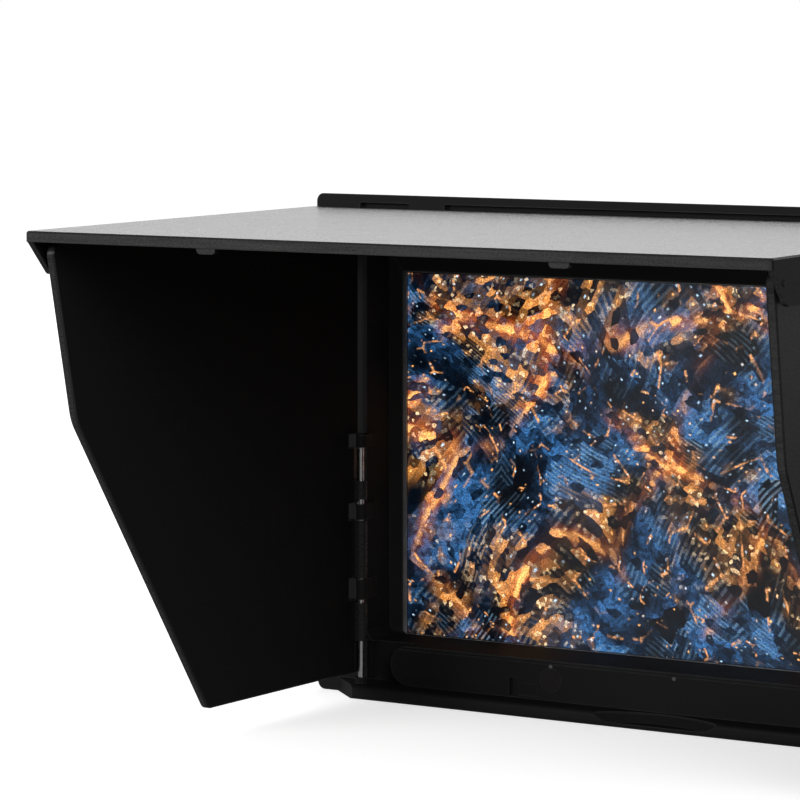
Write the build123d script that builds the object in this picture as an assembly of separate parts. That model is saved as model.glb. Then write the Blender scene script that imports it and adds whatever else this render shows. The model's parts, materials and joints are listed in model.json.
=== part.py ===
from build123d import *
from math import asin
from math import atan
from math import degrees
from math import hypot
from math import radians
from math import tan
import os

# Monitor with a folding sun hood. Millimetres.
# X runs to the right as seen from the front, Y runs to the back and Z runs up.
# The origin is the mouth of the tripod thread in the flat bottom, right under the lit screen.

# Screen
LIT_WIDTH = 150.7
LIT_HEIGHT = 94.2
LIT_BOTTOM_Z = 14.0
CELL_BORDER = 1.8
CELL_THICKNESS = 1.4
LIGHT_GUIDE_THICKNESS = 3.0
LIGHT_GUIDE_MARGIN = 3.6
TRAY_MARGIN = 5.0
TRAY_SHEET = 0.4
TRAY_DEPTH = 5.4
TRAY_LIP_GAP = 0.2
GASKET_THICKNESS = 0.6
GASKET_GAP = 1.3
GASKET_WIDTH = 2.8
WINDOW_THICKNESS = 1.0
WINDOW_MARGIN = 4.2
WINDOW_FOOT = 3.2

# Housing, outside
SCREEN_SIDE_BORDER = 17.85
BODY_WIDTH = LIT_WIDTH + 2 * SCREEN_SIDE_BORDER
HALF_WIDTH = BODY_WIDTH / 2
SCREEN_TOP_BORDER = 20.9
BODY_HEIGHT = LIT_BOTTOM_Z + LIT_HEIGHT + SCREEN_TOP_BORDER
RIM_Y = -16.0
PARTING_Y = -8.0
BACK_Y = 24.0
BODY_WALL = 2.2
TOP_SLOPE = 5.0
SIDE_TAPER = 1.8
CORNER_RADIUS = 2.0
BACK_BEVEL_DEPTH = 6.0
BACK_BEVEL_WIDTH = 5.0

# Housing, front recess
RECESS_SIDE_MARGIN = 3.05
RECESS_HALF_WIDTH = LIT_WIDTH / 2 + RECESS_SIDE_MARGIN
RECESS_TOP_MARGIN = 5.9
RECESS_TOP_Z = LIT_BOTTOM_Z + LIT_HEIGHT + RECESS_TOP_MARGIN
RECESS_WALL = 1.8
FRONT_WALL = 2.4
RECESS_CORNER_RADIUS = 3.0
OPENING_CORNER_RADIUS = 1.4
OPENING_SIDE_GAP = 0.45
OPENING_TOP_GAP = 0.5
BEVEL_DEPTH = 2.5

# Lower bar and lip
BAR_TOP_DROP = 0.1
BAR_TOP_Z = LIT_BOTTOM_Z - BAR_TOP_DROP
BAR_FACE_Y = -18.4
BAR_END_MARGIN = 8.6
BAR_HALF_LENGTH = RECESS_HALF_WIDTH - BAR_END_MARGIN
BAR_PAD_DEPTH = 4.4
BAR_WALL = 2.0
BAR_RAIL_END = 1.0
BAR_GROOVE_HEIGHT = 0.6
BAR_GROOVE_DROP = 0.4
BAR_GROOVE_DEPTH = 0.5
LIP_FRONT_Y = -25.0
LIP_HEIGHT = 3.6
LIP_END_MARGIN = 6.0
LIP_END_SLANT = 9.7
LIP_REAR_HALF = HALF_WIDTH - LIP_END_MARGIN
LIP_FRONT_HALF = LIP_REAR_HALF - LIP_END_SLANT
LIP_NOSE_RADIUS = 1.3
NOTCH_CENTRE_X = 8.8
NOTCH_WIDTH = 34.6
NOTCH_DEPTH = 5.2
NOTCH_FLOOR_Z = 1.3
NOTCH_SLOPE = 0.8

# Catch slot, remote-control window and indicator lenses in the bar's face
CATCH_SLOT_X = -33.9
CATCH_SLOT_WIDTH = 2.5
CATCH_SLOT_HEIGHT = 4.6
CATCH_SLOT_FLOOR = 0.4
CATCH_SLOT_DEPTH = 1.0
CATCH_PATCH_WIDTH = 5.6
CATCH_PATCH_HEIGHT = 3.0
CATCH_PATCH_DEPTH = 0.4
EYE_X = -23.4
EYE_DROP = 5.0
EYE_Z = BAR_TOP_Z - EYE_DROP
EYE_RADIUS = 2.9
EYE_STEP_DEPTH = 0.9
EYE_FLANGE = 0.9
EYE_GAP = 0.3
RECEIVER_BODY = 5.6
RECEIVER_BOARD_WIDTH = 16.0
RECEIVER_BOARD_HEIGHT = 7.2
RECEIVER_BOARD_THICKNESS = 1.0
RECEIVER_LENS_DEPTH = 2.6
INDICATOR_RADIUS = 0.45
INDICATOR_DEPTH = 0.8
INDICATOR_DROP = 1.5
INDICATOR_Z = BAR_TOP_Z - INDICATOR_DROP
INDICATOR_X = (-23.4, 10.9)

# Height of the closed hood's lid, and the ridge behind it
LID_TOP_DROP = 3.3
LID_TOP_Z = BODY_HEIGHT - LID_TOP_DROP
RIDGE_GROOVE_DROP = 4.4
RIDGE_GROOVE_RISE = 1.2
RIDGE_GROOVE_BOTTOM_Z = LID_TOP_Z - RIDGE_GROOVE_DROP
RIDGE_GROOVE_TOP_Z = LID_TOP_Z + RIDGE_GROOVE_RISE
RIDGE_GROOVE_DEPTH = 1.5
RIDGE_END_MARGIN = 12.9
RIDGE_GROOVE_END = HALF_WIDTH - RIDGE_END_MARGIN
RIDGE_RIB_INNER = 55.6
RIDGE_RIB_OUTER = 65.9

# Lid
LID_THICKNESS = 2.5
LID_FRONT_Y = -142.75
LID_REAR_GAP = 1.2
LID_CORNER_RADIUS = 0.9
LID_EDGE_CHAMFER = 0.4
SKIRT_HEIGHT = 10.4
SKIRT_THICKNESS = 1.5
SKIRT_SLANT = 7.4
SKIRT_CORNER_RADIUS = 1.8
SKIRT_END_RADIUS = 6.1
LID_AXIS_SETBACK = 6.6
LID_AXIS_DROP = 2.4
LID_PIN_RADIUS = 1.0
LID_EAR_WIDTH = 7.1
LID_EAR_RADIUS = 2.0
LID_EAR_GAP = 0.3
LID_EAR_FOOT = 8.8
LID_PIN_GRIP = 5.9
LID_PIN_COVER = 0.6
LID_PIN_END_GAP = 0.2
LID_TAB_X = 44.2
LID_TAB_WIDTH = 5.0
LID_TAB_DROP = 1.3
LID_TAB_THICKNESS = 1.3
LID_TAB_INSET = 0.3
LID_TAB_RADIUS = 1.04
LID_BUMP_RADIUS = 0.75
LID_BUMP_HEIGHT = 0.25
LID_BUMP_SETBACK = 6.0
LID_BUMP_DROP = 5.5

# Wings, measured along the wing from its hinge pin
WING_SKIRT_GAP = 1.025391
WING_THICKNESS = 2.2
WING_OFFSET = 1.7
WING_TOP_LENGTH = 119.0
WING_BREAK_LENGTH = 110.6
WING_BREAK_Z = 81.1
WING_FOOT_LENGTH = 61.8
WING_FOOT_Z = 6.2
WING_LID_GAP = 0.5
WING_BREAK_RADIUS = 12.0
WING_TOP_RADIUS = 2.6
WING_FOOT_RADIUS = 2.4
WING_REAR_REACH = 1.0
WING_HEEL_LENGTH = 4.0
WING_HEEL_DROP = 2.5
WING_EDGE_CHAMFER = 0.35
WING_PIN_INSET = 0.95
WING_PIN_HALF_SPAN = RECESS_HALF_WIDTH - WING_PIN_INSET
LEFT_PIN_Y = -20.5
RIGHT_PIN_Y = -17.9
WING_PIN_RADIUS = 0.8
KNUCKLE_RADIUS = 1.6
LUG_RADIUS = 1.6
LUG_ARM_REACH = 3.6
LUG_WINDOW_LENGTH = 3.0
LUG_GAP = 0.3
PIN_TOP_Z = 67.8
TOP_LUG_HEIGHT = 3.1
UPPER_KNUCKLE_Z = 51.4
UPPER_KNUCKLE_HEIGHT = 4.7
UPPER_LUG_Z = 46.1
UPPER_LUG_HEIGHT = 3.9
LOWER_LUG_Z = 25.4
LOWER_LUG_HEIGHT = 5.2
LOWER_KNUCKLE_Z = 14.7
LOWER_KNUCKLE_HEIGHT = 9.9
FOOT_BOSS_HEIGHT = 1.5
PIN_SOCKET_DEPTH = 2.0
PIN_END_GAP = 0.2

# Electronics
BOARD_FRONT_Y = 8.0
BOARD_THICKNESS = 1.6
BOARD_SIDE_MARGIN = 20.2
BOARD_WIDTH = BODY_WIDTH - 2 * BOARD_SIDE_MARGIN
BOARD_BOTTOM_Z = 20.0
BOARD_TOP_MARGIN = 17.1
BOARD_HEIGHT = BODY_HEIGHT - BOARD_TOP_MARGIN - BOARD_BOTTOM_Z
BOARD_HOLE_INSET = 4.0
BOARD_SCREW_RADIUS = 1.0
BOARD_SCREW_HEAD_RADIUS = 1.9
BOARD_SCREW_HEAD_HEIGHT = 1.3
BOARD_SCREW_REACH = 7.0
BOARD_POST_WIDTH = 5.0
PROCESSOR_SIZE = 14.0
PROCESSOR_HEIGHT = 1.4
PROCESSOR_Z = 81.0
RECEIVER_WIDTH = 24.0
RECEIVER_HEIGHT = 19.0
RECEIVER_DEPTH = 3.2
CARRIER_THICKNESS = 0.8
CARRIER_EDGE = 1.0
RECEIVER_INSET = 12.0
RECEIVER_DROP = 20.0
SPEAKER_RADIUS = 11.0
SPEAKER_DEPTH = 4.6
SPEAKER_BASKET_DEPTH = 1.6
MAGNET_RADIUS = 6.6
SPEAKER_INNER_SHARE = 0.6863
SPEAKER_Z = 44.0
SPEAKER_SLOT_COUNT = 5
SPEAKER_SLOT_PITCH = 3.2
SPEAKER_SLOT_HEIGHT = 1.2
SPEAKER_SLOT_LENGTH = 14.0
SPEAKER_SLOT_STEP = 2.6
VENT_COUNT = 4
VENT_DOOR_GAP = 7.95
VENT_PITCH = 5.0
VENT_HEIGHT = 1.6
VENT_X = 24.0
VENT_WIDTH = 32.0

# Battery
BATTERY_WIDTH = 100.0
BATTERY_HEIGHT = 44.0
BATTERY_DEPTH = 8.6
BATTERY_Z = 50.0
BATTERY_WAIST = 1.4
BATTERY_CORNER_RADIUS = 2.0
WELL_CLEARANCE = 0.8
WELL_WALL = 1.2
DOOR_MARGIN = 3.0
DOOR_THICKNESS = 1.6
DOOR_GAP = 0.25
DOOR_RADIUS = 3.0
GRIP_COUNT = 5
GRIP_PITCH = 1.8
GRIP_WIDTH = 18.0
GRIP_HEIGHT = 0.8
GRIP_DEPTH = 0.5
GRIP_DROP = 3.0
DOOR_NOTCH_RADIUS = 1.3

# Sockets
AERIAL_MARGIN = 35.2
AERIAL_DROP = 17.1
AERIAL_X = HALF_WIDTH - AERIAL_MARGIN
AERIAL_Z = BODY_HEIGHT - AERIAL_DROP
AERIAL_THREAD_RADIUS = 3.15
AERIAL_THREAD_LENGTH = 8.0
AERIAL_BORE_RADIUS = 2.3
AERIAL_BORE_DEPTH = 2.4
AERIAL_CORE_RADIUS = 0.95
AERIAL_CORE_DROP = 0.6
AERIAL_SHOULDER = 2.0
AERIAL_RELIEF_LENGTH = 0.5
AERIAL_RELIEF_RADIUS = 2.75
AERIAL_NUT_FLATS = 8.0
AERIAL_NUT_HEIGHT = 2.0
POWER_SOCKET_Z = 36.0
POWER_SOCKET_RADIUS = 4.2
POWER_BORE_RADIUS = 2.75
POWER_BORE_DEPTH = 9.0
POWER_BLOCK = 9.0
POWER_PIN_RADIUS = 1.0
POWER_PIN_DROP = 1.0
SIGNAL_SOCKET_Z = 52.0
SIGNAL_SOCKET_RADIUS = 3.0
SIGNAL_BORE_RADIUS = 1.8
SIGNAL_BORE_DEPTH = 11.0
SIGNAL_BLOCK = 7.0
SOCKET_Y = 10.5
SOCKET_LENGTH = 12.0
SOCKET_NECK = 1.0
SOCKET_SEAT_GAP = 0.6

# Keys on the right-hand side
KEY_COUNT = 4
KEY_FIRST_DROP = 55.1
KEY_FIRST_Z = BODY_HEIGHT - KEY_FIRST_DROP
KEY_PITCH = 11.0
KEY_Y = 7.0
KEY_WIDTH = 3.6
KEY_LENGTH = 7.0
KEY_PROUD = 0.9
KEY_GAP = 0.2
KEY_CORNER_RADIUS = 1.2
KEY_FLANGE = 0.8
KEY_FLANGE_THICKNESS = 1.0
KEY_TRAVEL = 0.4
KEY_SLACK = 0.1
KEY_FLANGE_GAP = 0.36
KEY_BOARD_THICKNESS = 1.2
KEY_BOARD_MARGIN = 5.0
SWITCH_BOARD_HALF = 7.5
SIDE_BOARD_WIDTH = 12.0
RIB_THICKNESS = 1.2
TACT_SIZE = 4.2
TACT_HEIGHT = 2.3
PLUNGER_SIZE = 2.0
PLUNGER_HEIGHT = 0.5
SLIDER_DROP = 30.0
SLIDER_Z = KEY_FIRST_Z - SLIDER_DROP
SLIDER_TRAVEL = 3.0
SLIDER_WIDTH = 2.6
SLIDER_LENGTH = 4.0
SLIDER_GAP = 0.2
SLIDER_PROUD = 0.3
SLIDER_FIELD_EDGE = 1.5
SLIDER_FIELD_DEPTH = 0.8
SLIDER_GROOVE = 0.4
SWITCH_WIDTH = 5.0
SWITCH_LENGTH = 11.0

# Fasteners and tripod insert
POST_WIDTH = 5.8
POST_SIDE_MARGIN = 9.1
POST_X = HALF_WIDTH - POST_SIDE_MARGIN
POST_LOW_Z = 9.0
POST_TOP_MARGIN = 13.5
POST_HIGH_Z = BODY_HEIGHT - POST_TOP_MARGIN
CASE_SCREW_RADIUS = 1.25
CASE_SCREW_HEAD_RADIUS = 2.1
CASE_SCREW_HEAD_HEIGHT = 1.8
CASE_SCREW_HEAD_Y = 0.0
CASE_SCREW_REACH = 12.0
SCREW_CLEARANCE = 0.15
THREAD_RADIUS = 3.175
INSERT_RADIUS = 4.8
INSERT_HEIGHT = 8.0
THREAD_DEPTH = 7.0
INSERT_BOSS_WALL = 1.8
INSERT_COVER = 0.6
RUNNING_CLEARANCE = 0.05
SEAT = 0.02
ROD_SIDES = 8
HEAD_SIDES = 12

WINDOW_BACK_Y = -TRAY_SHEET - GASKET_THICKNESS
WINDOW_FRONT_Y = WINDOW_BACK_Y - WINDOW_THICKNESS
BACK_INNER_Y = BACK_Y - BODY_WALL
LID_UNDER_Z = LID_TOP_Z - LID_THICKNESS
LID_AXIS_Y = RIM_Y - LID_AXIS_SETBACK
LID_AXIS_Z = LID_UNDER_Z - LID_AXIS_DROP
WING_TOP_Z = LID_UNDER_Z - WING_LID_GAP


def block(x0, x1, y0, y1, z0, z1):
    middle = Pos((x0 + x1) / 2, (y0 + y1) / 2, (z0 + z1) / 2)
    return middle * Box(x1 - x0, y1 - y0, z1 - z0)


def facing_back(x, y, z):
    """A plane at a point, whose normal points to the back."""
    return Plane(origin=(x, y, z), x_dir=(1, 0, 0), z_dir=(0, 1, 0))


def facing_right(x, y, z):
    """A plane at a point, whose normal points to the right and whose own X runs to the back."""
    return Plane(origin=(x, y, z), x_dir=(0, 1, 0), z_dir=(1, 0, 0))


def rounded_slab(x0, x1, z0, z1, radius, y0, y1):
    """A plate parallel to the screen, with rounded corners."""
    outline = RectangleRounded(x1 - x0, z1 - z0, radius)
    return extrude(facing_back((x0 + x1) / 2, y0, (z0 + z1) / 2) * outline, y1 - y0)


def rod_y(x, z, radius, y0, y1):
    return extrude(facing_back(x, y0, z) * Circle(radius), y1 - y0)


def rod_x(y, z, radius, x0, x1):
    return extrude(facing_right(x0, y, z) * Circle(radius), x1 - x0)


def rod_z(x, y, radius, z0, z1):
    return extrude(Pos(x, y, z0) * Circle(radius), z1 - z0)


def prism(plane, radius, length, sides=ROD_SIDES):
    """A many-sided rod along a plane's normal, with a radius from its middle to its flats."""
    return extrude(plane * RegularPolygon(radius, sides, major_radius=False), length)


def prism_y(x, z, radius, y0, y1, sides=ROD_SIDES):
    return prism(facing_back(x, y0, z), radius, y1 - y0, sides)


def side_profile(points, x0, x1):
    """A solid drawn as an outline of (y, z) points and as wide as x0 to x1."""
    outline = make_face(Polyline(*[(y, z) for y, z in points], close=True))
    return extrude(facing_right(x0, 0, 0) * outline, x1 - x0)


def plan_profile(points, z0, z1):
    """A solid drawn as an outline of (x, y) points seen from above."""
    return extrude(Pos(0, 0, z0) * make_face(Polyline(*points, close=True)), z1 - z0)


def mirrored(shape):
    return mirror(shape, about=Plane.YZ)


def both_sides(shape):
    return shape + mirrored(shape)


def one_solid(shape):
    """The single solid of a finished piece."""
    return shape.solids().sort_by(SortBy.VOLUME)[-1]


def save(name, *pieces):
    """Writes one named piece, or a group of like pieces."""
    solids = []
    for piece in pieces:
        solids.extend(piece.solids())
    target = solids[0] if len(solids) == 1 else Compound(children=solids)
    target.label = name
    export_step(target, "parts/" + name + ".step")


def top_z(y, inset=0.0):
    """Height of the sloping top at a depth."""
    return BODY_HEIGHT - (y - RIM_Y) * tan(radians(TOP_SLOPE)) - inset


def side_x(y):
    """Half width of the tapering housing at a depth."""
    if y <= PARTING_Y:
        return HALF_WIDTH
    return HALF_WIDTH - SIDE_TAPER * (y - PARTING_Y) / (BACK_Y - BACK_BEVEL_DEPTH - PARTING_Y)


def housing_form(inset, y_front):
    """The housing's closed form, drawn in by an inset: tapering sides, sloping top, bevelled back."""
    back = BACK_Y - inset
    shoulder = back - BACK_BEVEL_DEPTH
    half_front = HALF_WIDTH - inset
    half_back = half_front - SIDE_TAPER
    right = [(half_front, PARTING_Y), (half_back, shoulder), (half_back - BACK_BEVEL_WIDTH, back)]
    if y_front < PARTING_Y:
        right.insert(0, (half_front, y_front))
    left = [(-x, y) for x, y in reversed(right)]
    form = plan_profile(right + left, inset, BODY_HEIGHT + 1)
    ceiling = side_profile(
        [
            (y_front - 1, top_z(y_front - 1, inset)),
            (shoulder, top_z(shoulder, inset)),
            (back, top_z(back, inset) - BACK_BEVEL_WIDTH),
            (back + 1, top_z(back, inset) - BACK_BEVEL_WIDTH),
            (back + 1, BODY_HEIGHT + 2),
            (y_front - 1, BODY_HEIGHT + 2),
        ],
        -BODY_WIDTH,
        BODY_WIDTH,
    )
    heel = side_profile(
        [
            (shoulder, inset),
            (shoulder, inset - 1),
            (back + 1, inset - 1),
            (back + 1, inset + BACK_BEVEL_WIDTH),
            (back, inset + BACK_BEVEL_WIDTH),
        ],
        -BODY_WIDTH,
        BODY_WIDTH,
    )
    form = one_solid(form - ceiling - heel)
    if inset == 0:
        form = fillet(long_edges(form, y_front), CORNER_RADIUS)
    return form


def long_edges(form, y_front):
    """The edges that run from front to back along the four corners of a housing form."""
    found = []
    for edge in form.edges():
        box = edge.bounding_box()
        runs_back = box.size.Y > 3.0
        clear_of_back = box.max.Y < BACK_Y - BACK_BEVEL_DEPTH + 1.0
        if runs_back and clear_of_back and box.min.Y > y_front - 1:
            found.append(edge)
    return found


def screw_head(x, z, radius, y, height):
    """A low screw head, with a radius from its middle to its corners."""
    return extrude(facing_back(x, y, z) * RegularPolygon(radius, HEAD_SIDES), height)


def screw(x, z, head_y, reach, radius, head_radius, head_height):
    """A cap screw driven from the back, with a hexagon socket in its head."""
    shank = prism_y(x, z, radius, head_y - reach, head_y)
    head = screw_head(x, z, head_radius, head_y, head_height)
    hexagon = RegularPolygon(head_radius / 2, 6)
    return shank + head - extrude(facing_back(x, head_y + head_height / 2, z) * hexagon, head_height)


def square_post(x, z, width, y0, y1):
    """A square post that runs from front to back."""
    half = width / 2
    return block(x - half, x + half, y0, y1, z - half, z + half)


def case_posts():
    """Middles of the screw posts on the right-hand half."""
    return [(POST_X, POST_LOW_Z), (POST_X, POST_HIGH_Z)]


def opening_limits():
    """Half width, bottom and top of the hole in front of the screen."""
    half = LIT_WIDTH / 2 + OPENING_SIDE_GAP
    return half, BAR_TOP_Z, LIT_BOTTOM_Z + LIT_HEIGHT + OPENING_TOP_GAP


def wing_lug(pin_y, z0, height):
    """A hinge lug on the left-hand side: a barrel round the pin and an arm back to the rim."""
    x = -WING_PIN_HALF_SPAN
    r = LUG_RADIUS
    barrel = rod_z(x, pin_y, r, z0, z0 + height)
    arm = plan_profile(
        [
            (x + r * 0.75, pin_y + r * 0.5),
            (x + r * 0.4, RIM_Y + SEAT),
            (x + r * 0.4, RIM_Y + FRONT_WALL),
            (x - LUG_ARM_REACH, RIM_Y + FRONT_WALL),
            (x - LUG_ARM_REACH, RIM_Y),
            (x - r * 0.9, pin_y + r * 0.1),
        ],
        z0,
        z0 + height,
    )
    return barrel + arm


def lug_spans():
    """Bottom and height of each lug on a wing's pin."""
    return (
        (UPPER_LUG_Z, UPPER_LUG_HEIGHT),
        (LOWER_LUG_Z, LOWER_LUG_HEIGHT),
        (PIN_TOP_Z - TOP_LUG_HEIGHT, TOP_LUG_HEIGHT),
    )


def wing_hinge_lugs(pin_y):
    """All lugs of one wing hinge, on the left-hand side, with the bore for the pin."""
    lugs = Part()
    for z0, height in lug_spans():
        lugs += wing_lug(pin_y, z0, height)
    foot = Pos(-WING_PIN_HALF_SPAN, pin_y, LIP_HEIGHT / 2) * RegularPolygon(KNUCKLE_RADIUS, ROD_SIDES)
    return lugs + extrude(foot, LIP_HEIGHT / 2 + FOOT_BOSS_HEIGHT)


def pin_bore(pin_y):
    """The hole that grips a wing's pin between eight flats, through all lugs into the lip."""
    bottom = LIP_HEIGHT - PIN_SOCKET_DEPTH
    foot = Plane(origin=(-WING_PIN_HALF_SPAN, pin_y, bottom))
    return prism(foot, WING_PIN_RADIUS + SEAT, PIN_TOP_Z + 1 - bottom)


def lid_ear():
    """The right-hand ear that carries the lid: a barrel on a sloping arm."""
    x1 = HALF_WIDTH - SKIRT_THICKNESS - LID_EAR_GAP
    x0 = x1 - LID_EAR_WIDTH
    y = LID_AXIS_Y
    z = LID_AXIS_Z
    r = LID_EAR_RADIUS
    barrel = rod_x(y, z, r, x0, x1)
    arm = side_profile(
        [
            (y - r * 0.8, z - r * 0.6),
            (RIM_Y, z - LID_EAR_FOOT),
            (RIM_Y + FRONT_WALL, z - LID_EAR_FOOT),
            (RIM_Y + FRONT_WALL, z - r),
            (RIM_Y, z - r),
            (y + r * 0.5, z + r * 0.86),
        ],
        x0,
        x1,
    )
    depth = LID_PIN_GRIP + LID_PIN_END_GAP
    return barrel + arm - prism(facing_right(x1 - depth, y, z), LID_PIN_RADIUS + SEAT, depth + 1)


def lip():
    """The step under the screen that the closed lid lands on, with slanted ends and a finger notch."""
    body = plan_profile(
        [
            (-LIP_REAR_HALF, RIM_Y + FRONT_WALL),
            (-LIP_REAR_HALF, RIM_Y),
            (-LIP_FRONT_HALF, LIP_FRONT_Y),
            (LIP_FRONT_HALF, LIP_FRONT_Y),
            (LIP_REAR_HALF, RIM_Y),
            (LIP_REAR_HALF, RIM_Y + FRONT_WALL),
        ],
        0,
        LIP_HEIGHT,
    )
    nose = body.edges().filter_by(Axis.X).group_by(Axis.Y)[0]
    body = fillet(nose, LIP_NOSE_RADIUS)
    sag = NOTCH_DEPTH
    chord = NOTCH_WIDTH / 2
    radius = (chord * chord + sag * sag) / (2 * sag)
    scoop = rod_z(NOTCH_CENTRE_X, LIP_FRONT_Y + sag - radius, radius, NOTCH_FLOOR_Z, LIP_HEIGHT + 1)
    scoop = scoop & block(-HALF_WIDTH, HALF_WIDTH, LIP_FRONT_Y - 1, BAR_FACE_Y, 0, LIP_HEIGHT + 1)
    floor_edges = scoop.edges().filter_by(GeomType.CIRCLE).group_by(Axis.Z)[0]
    scoop = chamfer(floor_edges, (LIP_HEIGHT - NOTCH_FLOOR_Z) * NOTCH_SLOPE)
    return body - scoop


def bar():
    """The bar below the screen: a top ledge and a hollow pad with round ends."""
    pad_back = BAR_FACE_Y + BAR_PAD_DEPTH
    end_radius = (BAR_TOP_Z - LIP_HEIGHT) / 2 - SEAT
    straight = BAR_HALF_LENGTH - end_radius
    pad = rounded_slab(
        -BAR_HALF_LENGTH,
        BAR_HALF_LENGTH,
        LIP_HEIGHT,
        BAR_TOP_Z,
        end_radius,
        BAR_FACE_Y,
        pad_back,
    )
    pad += block(-straight, straight, BAR_FACE_Y, pad_back, 0, LIP_HEIGHT + 1)
    hollow_half = straight - BAR_RAIL_END
    hollow_front = BAR_FACE_Y + BAR_WALL
    pad -= block(-hollow_half, hollow_half, hollow_front, pad_back + 1, LIP_HEIGHT, BAR_TOP_Z - BAR_WALL)
    ledge = block(
        -RECESS_HALF_WIDTH,
        RECESS_HALF_WIDTH,
        pad_back,
        WINDOW_FRONT_Y,
        BAR_TOP_Z - BAR_WALL,
        BAR_TOP_Z,
    )
    web = block(-RECESS_HALF_WIDTH, -hollow_half, pad_back, pad_back + BAR_WALL, 0, BAR_TOP_Z)
    groove_top = BAR_TOP_Z - BAR_GROOVE_DROP
    groove = block(
        -BAR_HALF_LENGTH,
        BAR_HALF_LENGTH,
        BAR_FACE_Y - 1,
        BAR_FACE_Y + BAR_GROOVE_DEPTH,
        groove_top - BAR_GROOVE_HEIGHT,
        groove_top,
    )
    pad -= groove + catch_slot() + eye_hole()
    for x in INDICATOR_X:
        pad -= prism_y(x, INDICATOR_Z, INDICATOR_RADIUS + SEAT, BAR_FACE_Y - 1, BAR_FACE_Y + INDICATOR_DEPTH)
    return pad + ledge + both_sides(web)


def catch_slot():
    """The cut for the slot in the bar's face, and the shallow patch beside it."""
    bottom = LIP_HEIGHT + CATCH_SLOT_FLOOR
    right = CATCH_SLOT_X + CATCH_SLOT_WIDTH / 2
    slot = block(
        right - CATCH_SLOT_WIDTH,
        right,
        BAR_FACE_Y - 1,
        BAR_FACE_Y + CATCH_SLOT_DEPTH,
        bottom,
        bottom + CATCH_SLOT_HEIGHT,
    )
    patch = block(
        right - SEAT,
        right + CATCH_PATCH_WIDTH,
        BAR_FACE_Y - 1,
        BAR_FACE_Y + CATCH_PATCH_DEPTH,
        bottom + CATCH_PATCH_DEPTH,
        bottom + CATCH_PATCH_DEPTH + CATCH_PATCH_HEIGHT,
    )
    return slot + patch


def eye_flange(grow, y0, y1):
    """The square flange behind the round window, lower at its top to clear the ledge."""
    half = EYE_RADIUS + EYE_FLANGE + grow
    return block(EYE_X - half, EYE_X + half, y0, y1, EYE_Z - half, EYE_Z + EYE_RADIUS + grow)


def eye_hole():
    """The cut for the remote-control window: a round hole that steps out to a square behind."""
    step = BAR_FACE_Y + EYE_STEP_DEPTH
    hole = rod_y(EYE_X, EYE_Z, EYE_RADIUS + SEAT, BAR_FACE_Y - 1, step)
    return hole + eye_flange(SEAT, step, BAR_FACE_Y + BAR_WALL + 1)


def corner_outline(half, bottom, top, radius):
    """A face parallel to the screen: a rectangle whose two lower corners are rounded."""
    outline = make_face(Polyline((-half, bottom), (half, bottom), (half, top), (-half, top), close=True))
    for x in (-half, half):
        outline = fillet(outline.vertices().sort_by_distance((x, bottom))[0], radius)
    return outline


def recess():
    """The cut in front of the screen: straight walls, and then a bevel down to the opening."""
    half, bottom, top = opening_limits()
    neck = WINDOW_FRONT_Y - BEVEL_DEPTH
    mouth = corner_outline(RECESS_HALF_WIDTH, BAR_TOP_Z, RECESS_TOP_Z, RECESS_CORNER_RADIUS)
    throat = corner_outline(half, bottom, top, OPENING_CORNER_RADIUS)
    front = Plane(origin=(0, RIM_Y - 1, 0), x_dir=(1, 0, 0), z_dir=(0, -1, 0))
    walls = extrude(front * mouth, RIM_Y - 1 - neck)
    at_neck = Plane(origin=(0, neck, 0), x_dir=(1, 0, 0), z_dir=(0, -1, 0))
    at_window = Plane(origin=(0, WINDOW_FRONT_Y, 0), x_dir=(1, 0, 0), z_dir=(0, -1, 0))
    return walls + loft([at_neck * mouth, at_window * throat], ruled=True)


def front_frame():
    """The front moulding: outer rim, deep screen recess, bar, lip, ridge and all hinge lugs."""
    rim = housing_form(0, RIM_Y) & block(-BODY_WIDTH, BODY_WIDTH, RIM_Y, PARTING_Y, 0, 2 * BODY_HEIGHT)
    hollow = housing_form(BODY_WALL, RIM_Y + FRONT_WALL)
    rim -= hollow & block(-BODY_WIDTH, BODY_WIDTH, RIM_Y, PARTING_Y + 1, 0, 2 * BODY_HEIGHT)
    outer_half = RECESS_HALF_WIDTH + RECESS_WALL
    funnel_top = RECESS_TOP_Z + RECESS_WALL
    funnel = block(-outer_half, outer_half, RIM_Y, WINDOW_FRONT_Y, BAR_TOP_Z - BAR_WALL, funnel_top)
    foot = block(
        -RECESS_HALF_WIDTH,
        RECESS_HALF_WIDTH,
        RIM_Y - 1,
        RIM_Y + FRONT_WALL + 1,
        LIP_HEIGHT,
        BAR_TOP_Z,
    )
    posts = Part()
    pilots = Part()
    for x, z in case_posts():
        posts += square_post(x, z, POST_WIDTH, RIM_Y + 1, PARTING_Y)
        pilots += prism_y(x, z, CASE_SCREW_RADIUS + SCREW_CLEARANCE, RIM_Y + FRONT_WALL, PARTING_Y + 1)
    frame = rim + funnel + both_sides(posts) - recess() - foot
    frame += lip()
    frame += bar()
    frame += both_sides(lid_ear())
    frame += wing_hinge_lugs(LEFT_PIN_Y)
    frame += mirrored(wing_hinge_lugs(RIGHT_PIN_Y))
    frame -= pin_bore(LEFT_PIN_Y)
    frame -= mirrored(pin_bore(RIGHT_PIN_Y))
    frame -= both_sides(pilots)
    return one_solid(frame - ridge_grooves())


def ridge_grooves():
    """The grooves in the ridge's front face above the lid's rear edge, between its ribs."""
    grooves = Part()
    for x0, x1 in ((RIDGE_RIB_OUTER, RIDGE_GROOVE_END), (-RIDGE_RIB_INNER, RIDGE_RIB_INNER)):
        groove = block(
            x0,
            x1,
            RIM_Y - 1,
            RIM_Y + RIDGE_GROOVE_DEPTH,
            RIDGE_GROOVE_BOTTOM_Z,
            RIDGE_GROOVE_TOP_Z,
        )
        grooves += both_sides(groove)
    return grooves


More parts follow.
